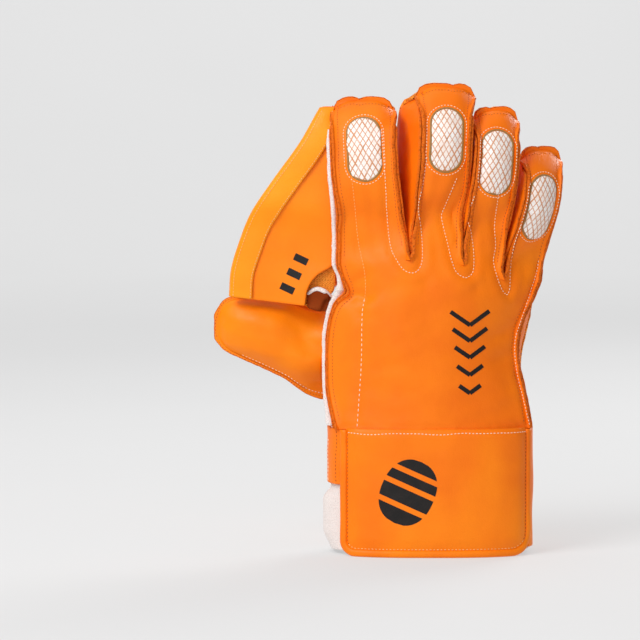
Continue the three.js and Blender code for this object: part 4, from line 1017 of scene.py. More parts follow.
def pimpled_rubber():
    """The palm's facing: soft rubber moulded with a close pattern of round pimples, with painted shade in
    the valleys between them. The middle of the palm is worn plain."""
    material, tree, shader, where = new_material("pimpled_rubber_moulded")
    flat = attribute(tree, "flat", "Vector")
    pitch = 1.95
    wide = pitch * math.sqrt(3)
    distances = []
    for shift in (0.0, 0.5):
        cell = vector_node(tree, "MULTIPLY", flat, (1 / pitch, 1 / wide, 1))
        cell = vector_node(tree, "ADD", cell, (shift, shift, 0))
        cell = vector_node(tree, "FRACTION", cell)
        cell = vector_node(tree, "ADD", cell, (-0.5, -0.5, 0))
        cell = vector_node(tree, "MULTIPLY", cell, (pitch, wide, 0))
        distances.append(vector_node(tree, "LENGTH", cell, output="Value"))
    away = math_node(tree, "MINIMUM", *distances)
    plain = vector_node(tree, "SUBTRACT", flat, (12.0, 158.0, 0))
    plain = vector_node(tree, "MULTIPLY", plain, (1 / 34, 1 / 42, 0))
    plain = vector_node(tree, "LENGTH", plain, output="Value")
    plain = math_node(tree, "ADD", plain, times(tree, noise(tree, where, 14), 0.5))
    worn = ramp(tree, plain, 1.45, 1.0)
    # Painted shade: a dark ring in the valley round each pimple, faint where the palm is worn plain.
    ring = times(tree, ramp(tree, away, 0.42, 0.6), ramp(tree, away, 0.88, 0.68))
    ring = times(tree, ring, math_node(tree, "SUBTRACT", 1.0, times(tree, worn, 0.82)))
    blotches = ramp(tree, noise(tree, where, 18, 4.0), 0.3, 0.75)
    tint = mixed(tree, blotches, colour("#F68C1A"), colour("#FFA236"))
    speck = ramp(tree, noise(tree, where, 1.6, 3.0), 0.5, 0.78)
    tint = mixed(tree, times(tree, speck, 0.45), tint, colour("#D4720F"))
    # The painted shade of the valleys, in dark orange.
    tint = mixed(tree, times(tree, ring, 0.95), tint, colour("#B4560A"))
    tree.links.new(tint, shader.inputs["Base Color"])
    shader.inputs["Roughness"].default_value = 0.72
    shader.inputs["Specular IOR Level"].default_value = 0.3
    height = times(tree, ramp(tree, away, 0.8, 0.35), math_node(tree, "SUBTRACT", 1.0, worn))
    nap = bump(tree, noise(tree, where, 1.2, 4.0), 0.18)
    tree.links.new(bump(tree, height, 0.35, nap), shader.inputs["Normal"])
    return material


def terry(name, base, shade):
    """Cotton towelling woven with small loops, matt and soft, with painted grey shade in its hollows."""
    material, tree, shader, where = new_material(name)
    loops = cells(tree, where, 0.7)
    fluff = noise(tree, where, 0.7, 4.0, 0.6)
    deep = math_node(tree, "ADD", times(tree, loops, 0.6), times(tree, fluff, 0.5))
    # Painted shade: the shade colour in the hollows between the loops.
    tint = mixed(tree, ramp(tree, deep, 0.3, 1.0), colour(base), colour(shade))
    tree.links.new(tint, shader.inputs["Base Color"])
    shader.inputs["Roughness"].default_value = 0.95
    shader.inputs["Sheen Weight"].default_value = 0.35
    shader.inputs["Sheen Roughness"].default_value = 0.5
    tree.links.new(bump(tree, deep, 0.3), shader.inputs["Normal"])
    return material


def printed_satin():
    """White satin woven from filament yarn, bright along its soft folds, printed with a plain
    trellis of fine orange lines."""
    material, tree, shader, where = new_material("satin_woven_printed")
    flat = attribute(tree, "flat", "Vector")
    inputs = {"Vector": where, "Scale": 120.0, "Detail": 1.0}
    drift = node(tree, "ShaderNodeTexNoise", inputs).outputs["Color"]
    drift = node(tree, "ShaderNodeVectorMath", {0: drift, "Scale": 0.9}, operation="SCALE").outputs[0]
    place = vector_node(tree, "ADD", flat, drift)
    x, y, _ = node(tree, "ShaderNodeSeparateXYZ", {0: place}).outputs
    lines = None
    for way in (1.0, -1.0):
        run = math_node(tree, "ADD", times(tree, x, 0.86), times(tree, y, 0.5 * way))
        for pitch, wide in ((2.9, 0.34), (8.7, 0.54)):
            away = math_node(tree, "PINGPONG", run, pitch / 2)
            line = ramp(tree, away, wide, wide * 0.45)
            lines = line if lines is None else math_node(tree, "MAXIMUM", lines, line)
    fade = ramp(tree, noise(tree, where, 5, 2.0), 0.32, 0.5)
    ink = times(tree, lines, math_node(tree, "ADD", times(tree, fade, 0.3), 0.6))
    shade = ramp(tree, noise(tree, where, 8, 2.0), 0.3, 0.7)
    cloth = mixed(tree, shade, colour("#FFFAF6"), colour("#FDECE2"))
    tree.links.new(mixed(tree, ink, cloth, colour("#CF7A2C")), shader.inputs["Base Color"])
    shader.inputs["Roughness"].default_value = 0.34
    shader.inputs["Specular IOR Level"].default_value = 0.6
    shader.inputs["Sheen Weight"].default_value = 0.3
    weave = bands(tree, flat, 2.2, 1.0, "X")
    soft = bump(tree, noise(tree, where, 5, 2.0), 0.5)
    tree.links.new(bump(tree, weave, 0.03, soft), shader.inputs["Normal"])
    return material


def plied_thread(name, base, shade):
    """Waxed nylon sewing thread, two yarns plied together, with painted shade between them."""
    material, tree, shader, where = new_material(name)
    ply = bands(tree, where, 700.0, 3.0, "DIAGONAL")
    # Painted shade: the shade colour between the two plies.
    tint = mixed(tree, times(tree, ply, 0.5), colour(base), colour(shade))
    tree.links.new(tint, shader.inputs["Base Color"])
    shader.inputs["Roughness"].default_value = 0.55
    tree.links.new(bump(tree, ply, 0.06), shader.inputs["Normal"])
    return material


def printed_film(name):
    """A black heat-pressed film: thin, even and half matt, with the leather's grain through it."""
    material, tree, shader, where = new_material(name)
    shade = ramp(tree, noise(tree, where, 6, 4.0), 0.35, 0.75)
    tint = mixed(tree, shade, colour("#0F0B0A"), colour("#1C1512"))
    tree.links.new(tint, shader.inputs["Base Color"])
    shader.inputs["Roughness"].default_value = 0.5
    shader.inputs["Specular IOR Level"].default_value = 0.3
    grain = bump(tree, cells(tree, where, 0.9), 0.04)
    tree.links.new(bump(tree, noise(tree, where, 11, 4.0), 0.3, grain), shader.inputs["Normal"])
    return material


def painted_floor():
    """A studio sweep of matt paper that glows a little, so that it stays an even pale grey."""
    material, tree, shader, where = new_material("studio_sweep_matt_paper")
    tint = mixed(tree, noise(tree, where, 400, 2.0), colour("#969696"), colour("#929292"))
    tree.links.new(tint, shader.inputs["Base Color"])
    shader.inputs["Roughness"].default_value = 0.95
    shader.inputs["Specular IOR Level"].default_value = 0.0
    shader.inputs["Emission Color"].default_value = colour("#E6E6E6")
    shader.inputs["Emission Strength"].default_value = FLOOR_GLOW
    return material


BACK_FINISH = dyed_leather("back_leather_drum_dyed", "#FA7C00", "#F27000", "#FE8604")
GUSSET_FINISH = dyed_leather("gusset_leather_soft_dyed", "#F87A02", "#EE6C00", "#FC8408", 0.55)
WEB_FINISH = dyed_leather("web_leather_smooth_dyed", "#FF8804", "#FA7E00", "#FF920C", 0.45)
TAPE_FINISH = dyed_leather("tape_leather_smooth_dyed", "#FE9C10", "#F89008", "#FFA61C", 0.42)
CUFF_FINISH = dyed_leather("cuff_leather_padded_dyed", "#FB7E00", "#F47400", "#FF8A06", 0.47)
# Painted shade: a dark leather that stands for the shade in the opening under the web's arch.
CROTCH_SHADE_FINISH = dyed_leather("crotch_leather_painted_shade", "#84330A", "#6E2606", "#92400F", 0.85, 1.4, 0.1)
PALM_FINISH = pimpled_rubber()
TERRY_FINISH = terry("towelling_cotton_looped", "#F1E8E4", "#C9BDB8")
LINING_FINISH = terry("lining_cotton_brushed", "#EDE2DD", "#D8CBC5")
SATIN_FINISH = printed_satin()
WHITE_THREAD = plied_thread("thread_nylon_cream", "#FFE6CC", "#F2C79A")
ORANGE_THREAD = plied_thread("thread_nylon_orange", "#BE5210", "#963A08")
GOLD_THREAD = plied_thread("thread_nylon_gold", "#FFC57A", "#E59A48")
BINDING_THREAD = plied_thread("thread_rayon_olive", "#A9793A", "#7C5526")
FILM_FINISH = printed_film("film_black_heat_pressed")


# From shapes to pieces
pieces = {}


def thicken(sheet, thickness, lift=0.0, rounding=0.3):
    """The closed solid of a sheet: its inner face, the same moved out, and a rounded rim."""
    normals = sheet.normals()
    quad_normals = unit(sheet.quad_normals())
    fold = np.ones(len(sheet.points))
    for k in range(4):
        np.minimum.at(fold, sheet.quads[:, k], (quad_normals * normals[sheet.quads[:, k]]).sum(1))
    ways = normals / np.maximum(fold, SHARPEST_FOLD)[:, None]
    for k, offset in sheet.offsets.items():
        ways[k] = offset
    inner, outer = sheet.points + ways * lift, sheet.points + ways * (lift + thickness)
    count = len(inner)
    border = sheet.border()
    out = np.zeros_like(inner)
    run = unit(sheet.points[border[:, 1]] - sheet.points[border[:, 0]])
    for k in range(2):
        np.add.at(out, border[:, k], np.cross(run, unit(ways[border[:, k]])))
    rim = np.unique(border)
    out = unit(out[rim]) * rounding
    rings = [
        lerp(inner[rim], outer[rim], t) + out * bulge
        for t, bulge in ((0.16, 0.75), (0.5, 1.0), (0.84, 0.75))
    ]
    number = np.zeros(count, int)
    number[rim] = np.arange(len(rim))
    layers = [border] + [2 * count + k * len(rim) + number[border] for k in range(3)] + [border + count]
    faces = [sheet.quads[:, ::-1], sheet.quads + count]
    for low, high in zip(layers, layers[1:]):
        faces.append(np.stack([low[:, 0], low[:, 1], high[:, 1], high[:, 0]], -1))
    flat = np.vstack([sheet.flat, sheet.flat] + [sheet.flat[rim]] * 3)
    edge = np.concatenate([sheet.edge, sheet.edge] + [np.maximum(sheet.edge[rim], 0.8)] * 3)
    return np.vstack([inner, outer, *rings]), np.vstack(faces), {"flat": flat, "edge": edge}


def in_metres(places):
    """Places on the glove, in millimetres, as places in the shared frame."""
    return (np.asarray(places) + (ORIGIN_X, ORIGIN_Y, 0)) / 1000


def make_mesh(name, places, faces, material, attributes=None):
    """A smooth mesh in metres in the shared frame, from places in millimetres."""
    mesh = bpy.data.meshes.new(name)
    faces = faces.tolist() if isinstance(faces, np.ndarray) else faces
    mesh.from_pydata(in_metres(places).tolist(), [], faces)
    for key, values in (attributes or {}).items():
        if values.ndim == 1:
            mesh.attributes.new(key, "FLOAT", "POINT").data.foreach_set("value", values.astype(np.float32))
        else:
            whole = np.zeros((len(values), 3), np.float32)
            whole[:, :values.shape[1]] = values
            mesh.attributes.new(key, "FLOAT_VECTOR", "POINT").data.foreach_set("vector", whole.ravel())
    mesh.materials.append(material)
    mesh.validate()
    mesh.shade_smooth()
    made = bpy.data.objects.new(f"sewn_{name}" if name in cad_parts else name, mesh)
    bpy.context.scene.collection.objects.link(made)
    pieces[name] = made
    return made


def settle(piece, slot, *nodes):
    """Puts a finished piece on its body and stands it for its CAD nodes."""
    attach(piece, "root")
    if nodes:
        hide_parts(*nodes)
    return piece


def cut_of_cloth(piece, sheet, held, *rests_on):
    """Works out the area, in square metres, that a cloth piece was cut to, and does nothing with it."""
    area = np.linalg.norm(sheet.quad_normals(), axis=1).sum() / 2e6


def leather_piece(name, sheet, thickness, material, lift=0.0, rounding=0.3):
    """A sheet of leather, rubber or cloth as a finished piece of its thickness."""
    places, faces, attributes = thicken(sheet, thickness, lift, rounding)
    return make_mesh(name, places, faces, material, attributes)


def surface_of(*objects):
    """A search tree over finished pieces, in the shared frame."""
    verts, faces = [], []
    for piece in objects:
        mesh = piece.data
        co = np.zeros(len(mesh.vertices) * 3, np.float32)
        mesh.vertices.foreach_get("co", co)
        first = len(verts)
        verts += [Vector(p) for p in co.reshape(-1, 3)]
        faces += [tuple(first + k for k in p.vertices) for p in mesh.polygons]
    return BVHTree.FromPolygons(verts, faces)


def framed(place):
    return Vector(in_metres(place))


def cast(tree, places, way):
    """Where rays from these places, in millimetres, first meet the pieces, and the facing."""
    found = []
    for place in places:
        hit, facing, _, _ = tree.ray_cast(framed(place), Vector(way))
        if hit is not None:
            facing = facing if facing.dot(Vector(way)) < 0 else -facing
            found.append((np.array(hit) * 1000 - (ORIGIN_X, ORIGIN_Y, 0), np.array(facing)))
    return found


def window_frame(i):
    """The middle of a finger's window on the finger's back, and its ways sideways, up and out."""
    f = 1 - FINGERS[i]["window"] / FINGERS[i]["length"]
    up = unit(finger_point(i, 0, f + 0.1, False) - finger_point(i, 0, f - 0.1, False))
    side = unit(finger_point(i, 0.5, f, False) - finger_point(i, -0.5, f, False))
    return finger_point(i, 0, f, False), side, up, np.cross(side, up)


def stadium(count, grow=0.0):
    """Points round a window's outline in its own plane."""
    half, straight = WINDOW_WIDTH / 2 + grow, (WINDOW_LENGTH - WINDOW_WIDTH) / 2
    run = np.linspace(0, 2 * math.pi * half + 4 * straight, count, endpoint=False)
    arc = math.pi * half
    found = []
    for s in run:
        if s < arc:
            found.append((half * math.cos(s / half), straight + half * math.sin(s / half)))
        elif s < arc + 2 * straight:
            found.append((-half, straight - (s - arc)))
        elif s < 2 * arc + 2 * straight:
            t = (s - arc - 2 * straight) / half
            found.append((-half * math.cos(t), -straight - half * math.sin(t)))
        else:
            found.append((half, -straight + (s - 2 * arc - 2 * straight)))
    return np.array(found)


def round_window(i, ring, away):
    """A ring drawn in a window's own plane, as places at a distance out from the finger."""
    place, side, up, out = window_frame(i)
    return place + ring[:, :1] * side + ring[:, 1:] * up + out * away


def cutter(low, high):
    """A solid between two rings of places, both counterclockwise as seen from the high one."""
    n = len(low)
    sides = [[k, (k + 1) % n, n + (k + 1) % n, n + k] for k in range(n)]
    ends = [list(range(n))[::-1], list(range(n, 2 * n))]
    mesh = bpy.data.meshes.new("cutter")
    mesh.from_pydata(in_metres(np.vstack([low, high])).tolist(), [], sides + ends)
    made = bpy.data.objects.new("cutter", mesh)
    bpy.context.scene.collection.objects.link(made)
    return made


def window_cutter(i):
    """Cuts a finger's window through the back."""
    return cutter(*(round_window(i, stadium(64), away) for away in (-CLEAR_OF_WALL, CLEAR_OF_WALL)))


def crotch_cutter():
    """Cuts the opening at the thumb's root through the palm."""
    x = CROTCH_CUT_X + CROTCH_CUT * CROTCH_CORNERS["x"]
    z = CROTCH_CUT_Z + CROTCH_CUT * CROTCH_CORNERS["z"]
    corners = np.stack([x, z], 1)
    ring = dense(np.vstack([corners, corners[:1]]), 1.5)[:-1]
    return cutter(*(points_of(ring[:, 0], y, ring[:, 1]) for y in (0, HAND_DEPTH)))


def cut_away(piece, cutters):
    """Cuts openings through a finished piece and takes the cutters out of the scene."""
    before, places = read_mesh(piece.data)
    for tool in cutters:
        change = piece.modifiers.new("cut", "BOOLEAN")
        change.object, change.operation, change.solver = tool, "DIFFERENCE", "EXACT"
    bake(piece)
    for tool in cutters:
        bpy.data.objects.remove(tool)
    # A point made by the cut takes its place in the pattern from the nearest point that was there.
    tree = KDTree(len(places))
    for k, place in enumerate(places):
        tree.insert(place, k)
    tree.balance()
    _, cut_places = read_mesh(piece.data)
    flat = []
    for place in cut_places:
        k = tree.find(place)[1]
        flat.append(before[k] + (place - places[k])[[0, 2, 1]] * (1000, 1000, 0))
    piece.data.attributes["flat"].data.foreach_set("vector", np.array(flat, np.float32).ravel())


def read_mesh(mesh):
    """A mesh's pattern places and its points."""
    found = []
    for values, key in ((mesh.attributes["flat"].data, "vector"), (mesh.vertices, "co")):
        column = np.zeros(len(mesh.vertices) * 3, np.float32)
        values.foreach_get(key, column)
        found.append(column.reshape(-1, 3))
    return found


def bake(piece):
    """Turns a piece and its modifiers into a plain mesh."""
    graph = bpy.context.evaluated_depsgraph_get()
    mesh = bpy.data.meshes.new_from_object(piece.evaluated_get(graph))
    piece.modifiers.clear()
    piece.data = mesh
    mesh.set_sharp_from_angle(angle=math.radians(50))
    return piece


back_panel = leather_piece("back_panel", back_sheet, BACK_LEATHER, BACK_FINISH)
cut_away(back_panel, [window_cutter(i) for i in range(len(FINGERS))])
settle(back_panel, "back_leather", "back_panel")

palm_panel = leather_piece("palm_panel", palm_sheet, PALM_LEATHER, PALM_FINISH)
cut_away(palm_panel, [crotch_cutter()])
settle(palm_panel, "pimpled_rubber", "palm_panel")

for name, sheet in gussets.items():
    settle(leather_piece(name, sheet, GUSSET_LEATHER, GUSSET_FINISH, rounding=0.2), "gusset_leather", name)

# The thumb's back, with the valley in its leather and its flat seam
thumb_sheet = Sheet()
thumb_sheet.grid = thumb_sheet.add(thumb_point(THUMB_STEPS[::-1][None, :], thumb_lines[:, None], False))
thumb_sheet.face(thumb_sheet.grid)
thumb_sheet.relax(6)
thumb_border = nearest(thumb_sheet.points, thumb_sheet.points[np.unique(thumb_sheet.border())])
thumb_slack = 0.5 * wander(thumb_sheet.points, 24, 61) + 0.3 * wander(thumb_sheet.points, 9, 62)
thumb_valley = line_distance(thumb_sheet.points[:, [0, 2]], np.array([[-63, 104], [-68, 122], [-80, 132]]))
thumb_slack = thumb_slack + 8.5 * np.exp(-(thumb_valley / 15) ** 2)
thumb_sheet.press(thumb_slack * smoothstep(thumb_border, 0.5, 6))
grid = thumb_sheet.grid
thumb_seam = [*grid[-1, ::-1], *grid[-2:0:-1, 0], *grid[0, :]]
add_flange(thumb_sheet, thumb_seam, 1.0, 0.0, SEAM_ALLOWANCE, 1.0, (0, 1, 0), seed=14)
settle(leather_piece("thumb_back", thumb_sheet, BACK_LEATHER, WEB_FINISH), "back_leather", "thumb_back")

for name, sheet, thickness, finish, rounding, slot in (
    ("web_back", web_back, WEB_LEATHER, WEB_FINISH, 0.5, "web_leather"),
    ("web_palm", web_palm, WEB_LEATHER, PALM_FINISH, 0.5, "web_leather"),
    ("web_tape", web_tape, TAPE_LEATHER, TAPE_FINISH, 0.25, "tape_leather"),
):
    settle(leather_piece(name, sheet, thickness, finish, rounding=rounding), slot, name)


def make_tube(name, places, material):
    """A closed tube through rings of places: rings x places round."""
    rings, n = places.shape[:2]
    index = np.arange(rings * n).reshape(rings, n)
    beside = np.roll(index, -1, 1)
    quads = np.stack([index[:-1], beside[:-1], beside[1:], index[1:]], -1)
    ends = [index[0][::-1].tolist(), index[-1].tolist()]
    return make_mesh(name, places.reshape(-1, 3), quads.reshape(-1, 4).tolist() + ends, material)


def towelling_strip():
    """The white towelling that shows beside the back panel's seam, with a knot at its foot."""
    share = np.linspace(0, 1.035, 266)
    z = SEAM_Z + 4 * CLEARANCE + STRIP_LENGTH * share
    spread = 0.9 + 1.3 * (1 - smoothstep(z, 150, 166)) + 2.0 * np.exp(-((z - 161) / 6) ** 2)
    centre = side_at(z, STRIP_SET, GUSSET_LEATHER + CLEARANCE + STRIP_WIDTH / 2)
    centre = centre - points_of(spread / 2, 0, 0)
    knot = np.exp(-((z - 82) / 2.2) ** 2)
    wide = STRIP_WIDTH / 2 * (1 + 0.12 * wander(centre, 7, 71) + 0.7 * knot) + spread / 2
    wide = wide * (1 - 0.6 * smoothstep(share, 0.96, 1.035))
    deep = STRIP_DEPTH / 2 * (1 + 0.1 * wander(centre, 9, 72) + 0.25 * knot)
    centre = centre + points_of(0.5 * wander(centre, 21, 73), 0, 0)
    angle = np.linspace(0, 2 * np.pi, 12, endpoint=False)
    ring_x = centre[:, :1] + wide[:, None] * np.cos(angle)
    ring_y = centre[:, 1:2] + deep[:, None] * np.sin(angle)
    places = points_of(ring_x, ring_y, centre[:, 2:])
    fluff = points_of(wander(places, 1.7, 74), wander(places, 1.9, 75), 0) * 0.16
    return places + fluff


settle(make_tube("lining_edge", towelling_strip(), TERRY_FINISH), "towelling", "lining_edge")


def roll(line, wide, deep, seed):
    """Rings of a soft roll along a line, wide in the photograph's plane and deep across it."""
    along = unit(np.gradient(line, axis=0) * (1, 0, 1))
    across = points_of(along[:, 2], 0, -along[:, 0])[:, None]
    angle = np.linspace(0, 2 * np.pi, 12, endpoint=False)[None, :, None]
    ends = np.sqrt(1 - np.abs(np.linspace(-0.97, 0.97, len(line))) ** 6)[:, None, None]
    swell = (1 + 0.08 * wander(line, 6, seed))[:, None, None] * ends / 2
    side = across * np.cos(angle) * wide * swell
    return line[:, None] + side + points_of(0, deep, 0) * np.sin(angle) * swell


# The line of the towelling that shows in the arch at the web's foot
ARC = table("x z", (-79, 159.5), (-76, 162.2), (-72.5, 163.2), (-68.5, 161.8), (-65, 158.6), (-62, 155))


def web_front(x, z, proud):
    """Places just in front of the palm side of the web, by how far they stand proud of it."""
    tree = surface_of(pieces["web_palm"])
    places = on_back(x, z)
    flat = places.reshape(-1, 3)
    hits = [cast(tree, [place], AWAY) for place in flat]
    known = np.median([hit[0][0][1] for hit in hits if hit])
    flat[:, 1] = [(hit[0][0][1] if hit else known) - proud for hit in hits]
    return places


arc_line = dense(web_front(ARC["x"], ARC["z"], 1.6), 0.6)
settle(make_tube("lining_arc", roll(arc_line, 3.0, 2.6, 76), TERRY_FINISH), "towelling")


def crotch_painted_shade():
    """Painted shade in the crotch: a dark leather sheet under the arch, down to the thumb's seam."""
    low = thumb_top_at(arc_line[:, 0])
    foot = np.minimum(low + 2, arc_line[:, 2] - 0.5)
    z = lerp(arc_line[:, 2:], foot[:, None], np.linspace(0, 1, 12)[None, :])
    return grid_sheet(web_front(arc_line[:, :1] + 0 * z, z, 1.3))


# A dark sheet that paints the shade in the crotch opening.
settle(leather_piece("crotch_painted_shade", crotch_painted_shade(), 0.8, CROTCH_SHADE_FINISH, rounding=0.1), "gusset_leather")

wrist = gusset_rows(back_sheet.hand[:THUMB_FROM + 1, 0], palm_sheet.hand[:THUMB_FROM + 1, 0])
wrist_start = index_rows["end"][:THUMB_FROM + 1] + (0.6, 2.4, 0)
share = np.linspace(0, 1, 13)[None, :, None]
wrist_sheet = grid_sheet(wrist["end"][:, None] + (wrist_start - wrist["end"])[:, None] * share)
wrist_sheet.level_foot()
wrist_lining = leather_piece("lining_wrist", wrist_sheet, TOWELLING, TERRY_FINISH)
settle(wrist_lining, "towelling", "lining_wrist")
cut_of_cloth(wrist_lining, wrist_sheet, "stretched", pieces["palm_panel"])

crotch_across, crotch_up = np.linspace(0.015, 0.3, 30)[None, :], np.linspace(0.5, 0.93, 44)[:, None]
crotch_sheet = grid_sheet(hand_point(crotch_across, crotch_up, True), True)
under_palm = -2 * CLEARANCE - TOWELLING
crotch_lining = leather_piece("lining_crotch", crotch_sheet, TOWELLING, LINING_FINISH, under_palm)
settle(crotch_lining, "towelling", "lining_crotch")
cut_of_cloth(crotch_lining, crotch_sheet, "stretched", pieces["palm_panel"])

cuff_cloth = cuff_lining()
cuff_inside = leather_piece("lining_cuff", cuff_cloth, TOWELLING, LINING_FINISH, rounding=0.6)
settle(cuff_inside, "towelling", "lining_cuff")
cut_of_cloth(cuff_inside, cuff_cloth, "stretched", "cuff_palm", "cuff_back")
for k, (name, panel) in enumerate(CUFF_PANELS.items()):
    panel_sheet = cuff_panel(**panel, seed=81 + k)
    made = leather_piece(f"cuff_{name}", panel_sheet, panel_sheet.thickness, CUFF_FINISH, rounding=0.8)
    settle(made, "cuff_leather", f"cuff_{name}")
    rim = make_tube(f"cuff_rim_{name}", cuff_rim(**panel, seed=91 + k), CUFF_FINISH)
    settle(rim, "cuff_leather", f"cuff_rim_{name}")
back_ends, palm_ends = CUFF_PANELS["back"], CUFF_PANELS["palm"]
for name, start, stop, foot, seed in (
    ("cuff_side_thumb", palm_ends["stop"], back_ends["start"] + cuff_wall["length"], SLIT_HEIGHT, 95),
    ("cuff_side_little", back_ends["stop"], palm_ends["start"], RIM_WIDTH, 96),
):
    side_sheet = cuff_side(start, stop, foot, seed)
    settle(leather_piece(name, side_sheet, BACK_LEATHER, CUFF_FINISH), "cuff_leather", name)


def window_satin(i):
    """A soft satin piece let into the finger's back, a little crowned."""
    place, side, up, out = window_frame(i)
    share = np.linspace(0.02, 1, 14)[:, None, None]
    flat = stadium(72, 0.35) * share
    places = place + flat[..., :1] * side + flat[..., 1:] * up
    back = surface_even(i)
    hits = np.array([[back(p, out) for p in row] for row in places])
    puff = 1.1 * (1 - share ** 2) ** 0.8
    hits = hits + out * (puff + 0.5 + 0.12 * wander(hits, 6, 101 + i)[..., None])
    sheet = Sheet()
    index = sheet.add(hits, flat)
    sheet.face(np.hstack([index, index[:, :1]]), True)
    return sheet


def surface_even(i):
    """Gives the point of the finger's even back above a place, along the window's axis."""
    s, f = np.meshgrid(np.linspace(-1, 1, 41), np.linspace(0.3, 0.97, 81))
    grid = finger_point(i, s, f, False)
    rows, count = s.shape
    corners = [k for k in range((rows - 1) * count) if (k + 1) % count]
    faces = [(k, k + 1, k + count + 1, k + count) for k in corners]
    tree = BVHTree.FromPolygons([Vector(p) for p in grid.reshape(-1, 3)], faces)

    def find(place, out):
        hit = tree.ray_cast(Vector(place + out * 15), Vector(-out))[0]
        return place if hit is None else np.array(hit)
    return find


for i, finger in enumerate(FINGERS):
    name = f"window_{finger['name']}"
    satin = leather_piece(name, window_satin(i), SATIN, SATIN_FINISH, rounding=0.1)
    settle(satin, "satin", name)


# Stitches

def stitch_tree():
    """Geometry Nodes: plump stitches along lines that carry the way they face."""
    tree = bpy.data.node_groups.new("stitches", "GeometryNodeTree")
    sockets = {
        "Lines": "NodeSocketGeometry", "Pitch": "NodeSocketFloat", "Length": "NodeSocketFloat",
        "Thread": "NodeSocketFloat", "Seed": "NodeSocketInt", "Finish": "NodeSocketMaterial",
    }
    for name, kind in sockets.items():
        tree.interface.new_socket(name, in_out="INPUT", socket_type=kind)
    tree.interface.new_socket("Stitches", in_out="OUTPUT", socket_type="NodeSocketGeometry")
    given = node(tree, "NodeGroupInput").outputs

    def made(kind, inputs=None, **settings):
        """The first output of a new node."""
        return node(tree, kind, inputs, **settings).outputs[0]

    curve = made("GeometryNodeMeshToCurve", {"Mesh": given["Lines"]})
    evenly = made("GeometryNodeResampleCurve", {"Curve": curve, "Length": given["Pitch"]}, mode="LENGTH")
    grain = made("GeometryNodeMeshUVSphere", {"Segments": 8, "Rings": 5, "Radius": 0.5})
    size = made("ShaderNodeCombineXYZ", {0: given["Length"], 1: given["Thread"], 2: given["Thread"]})
    along = made("GeometryNodeInputTangent")
    facing = made("GeometryNodeInputNamedAttribute", {"Name": "facing"}, data_type="FLOAT_VECTOR")
    turn = made("FunctionNodeAlignRotationToVector", {"Vector": facing}, axis="Z")
    inputs = {"Rotation": turn, "Vector": along}
    turn = made("FunctionNodeAlignRotationToVector", inputs, axis="X", pivot_axis="Z")
    inputs = {"Min": (0.86, 0.9, 0.9), "Max": (1.1, 1.1, 1.1), "Seed": given["Seed"]}
    vary = made("FunctionNodeRandomValue", inputs, data_type="FLOAT_VECTOR")
    size = made("ShaderNodeVectorMath", {0: size, 1: vary}, operation="MULTIPLY")
    inputs = {"Points": evenly, "Instance": grain, "Rotation": turn, "Scale": size}
    placed = made("GeometryNodeInstanceOnPoints", inputs)
    real = made("GeometryNodeRealizeInstances", {0: placed})
    smooth = made("GeometryNodeSetShadeSmooth", {0: real})
    dressed = made("GeometryNodeSetMaterial", {0: smooth, "Material": given["Finish"]})
    node(tree, "NodeGroupOutput", {0: dressed})
    return tree


STITCH_TREE = stitch_tree()


def sew(name, lines, material, pitch, length, thread, seed):
    """Stitches along lines, each a list of (place, facing): how far apart, long and thick they are."""
    places, facings, edges = [], [], []
    for line in lines:
        if len(line) < 2:
            continue
        first = len(places)
        places += [framed(p) for p, _ in line]
        facings += [f for _, f in line]
        edges += [(first + k, first + k + 1) for k in range(len(line) - 1)]
    mesh = bpy.data.meshes.new(name)
    mesh.from_pydata(places, edges, [])
    facing = mesh.attributes.new("facing", "FLOAT_VECTOR", "POINT").data
    facing.foreach_set("vector", np.array(facings, np.float32).ravel())
    made = bpy.data.objects.new(name, mesh)
    bpy.context.scene.collection.objects.link(made)
    change = made.modifiers.new("stitches", "NODES")
    change.node_group = STITCH_TREE
    values = {
        "Pitch": pitch / 1000, "Length": length / 1000, "Thread": thread / 1000,
        "Seed": seed, "Finish": material,
    }
    for item in STITCH_TREE.interface.items_tree:
        if item.item_type == "SOCKET" and item.name in values:
            change[item.identifier] = values[item.name]
    graph = bpy.context.evaluated_depsgraph_get()
    made.data = bpy.data.meshes.new_from_object(made.evaluated_get(graph))
    made.modifiers.clear()
    pieces[name] = made
    return made


def along_surface(tree, places, way, sink=0.0):
    """A drawn line laid on a piece: each place with the way that it faces."""
    return [(p + f * sink, f) for p, f in cast(tree, places, way)]


def seam_thread(sheet, surface, path, inset):
    """A line beside a seam, set in from it and laid on the leather from the front."""
    normals = sheet.normals()
    path = np.asarray(path)
    found = []
    for a, b, c in zip(path[:-2], path[1:-1], path[2:]):
        along = unit(sheet.points[c] - sheet.points[a])
        normal = normals[b]
        out, _, even = sheet.seams.get(int(b), (np.cross(along, normal), None, normal))
        place = sheet.points[b] - out * inset + even * BACK_LEATHER
        found.append(place - (0, CLEAR_OF_WALL, 0))
    return along_surface(surface, found, AWAY, 0.03)


back_surface = surface_of(back_panel)


def laid_on_back(line, sink):
    """A line drawn in the photograph's plane, laid on the back."""
    return along_surface(back_surface, on_back(line[:, 0], line[:, 1]), AWAY, sink)


quilt_paths = [dense(np.stack([quilt["x"], quilt["z"]], 1), 1.0) for quilt in QUILTING]
left_quilt = quilt_paths.pop(3)
quilt_lines = [laid_on_back(line, 0.05) for line in quilt_paths]
window_rings = []
for i in range(len(FINGERS)):
    ring = stadium(120, 2.6)
    ring = round_window(i, np.vstack([ring, ring[:1]]), CLEAR_OF_WALL)
    window_rings.append(along_surface(back_surface, ring, -window_frame(i)[3], 0.05))
cream_lines = quilt_lines + window_rings
settle(sew("stitches_back_cream", cream_lines, WHITE_THREAD, 2.0, 1.4, 0.54, seed=2), "satin")

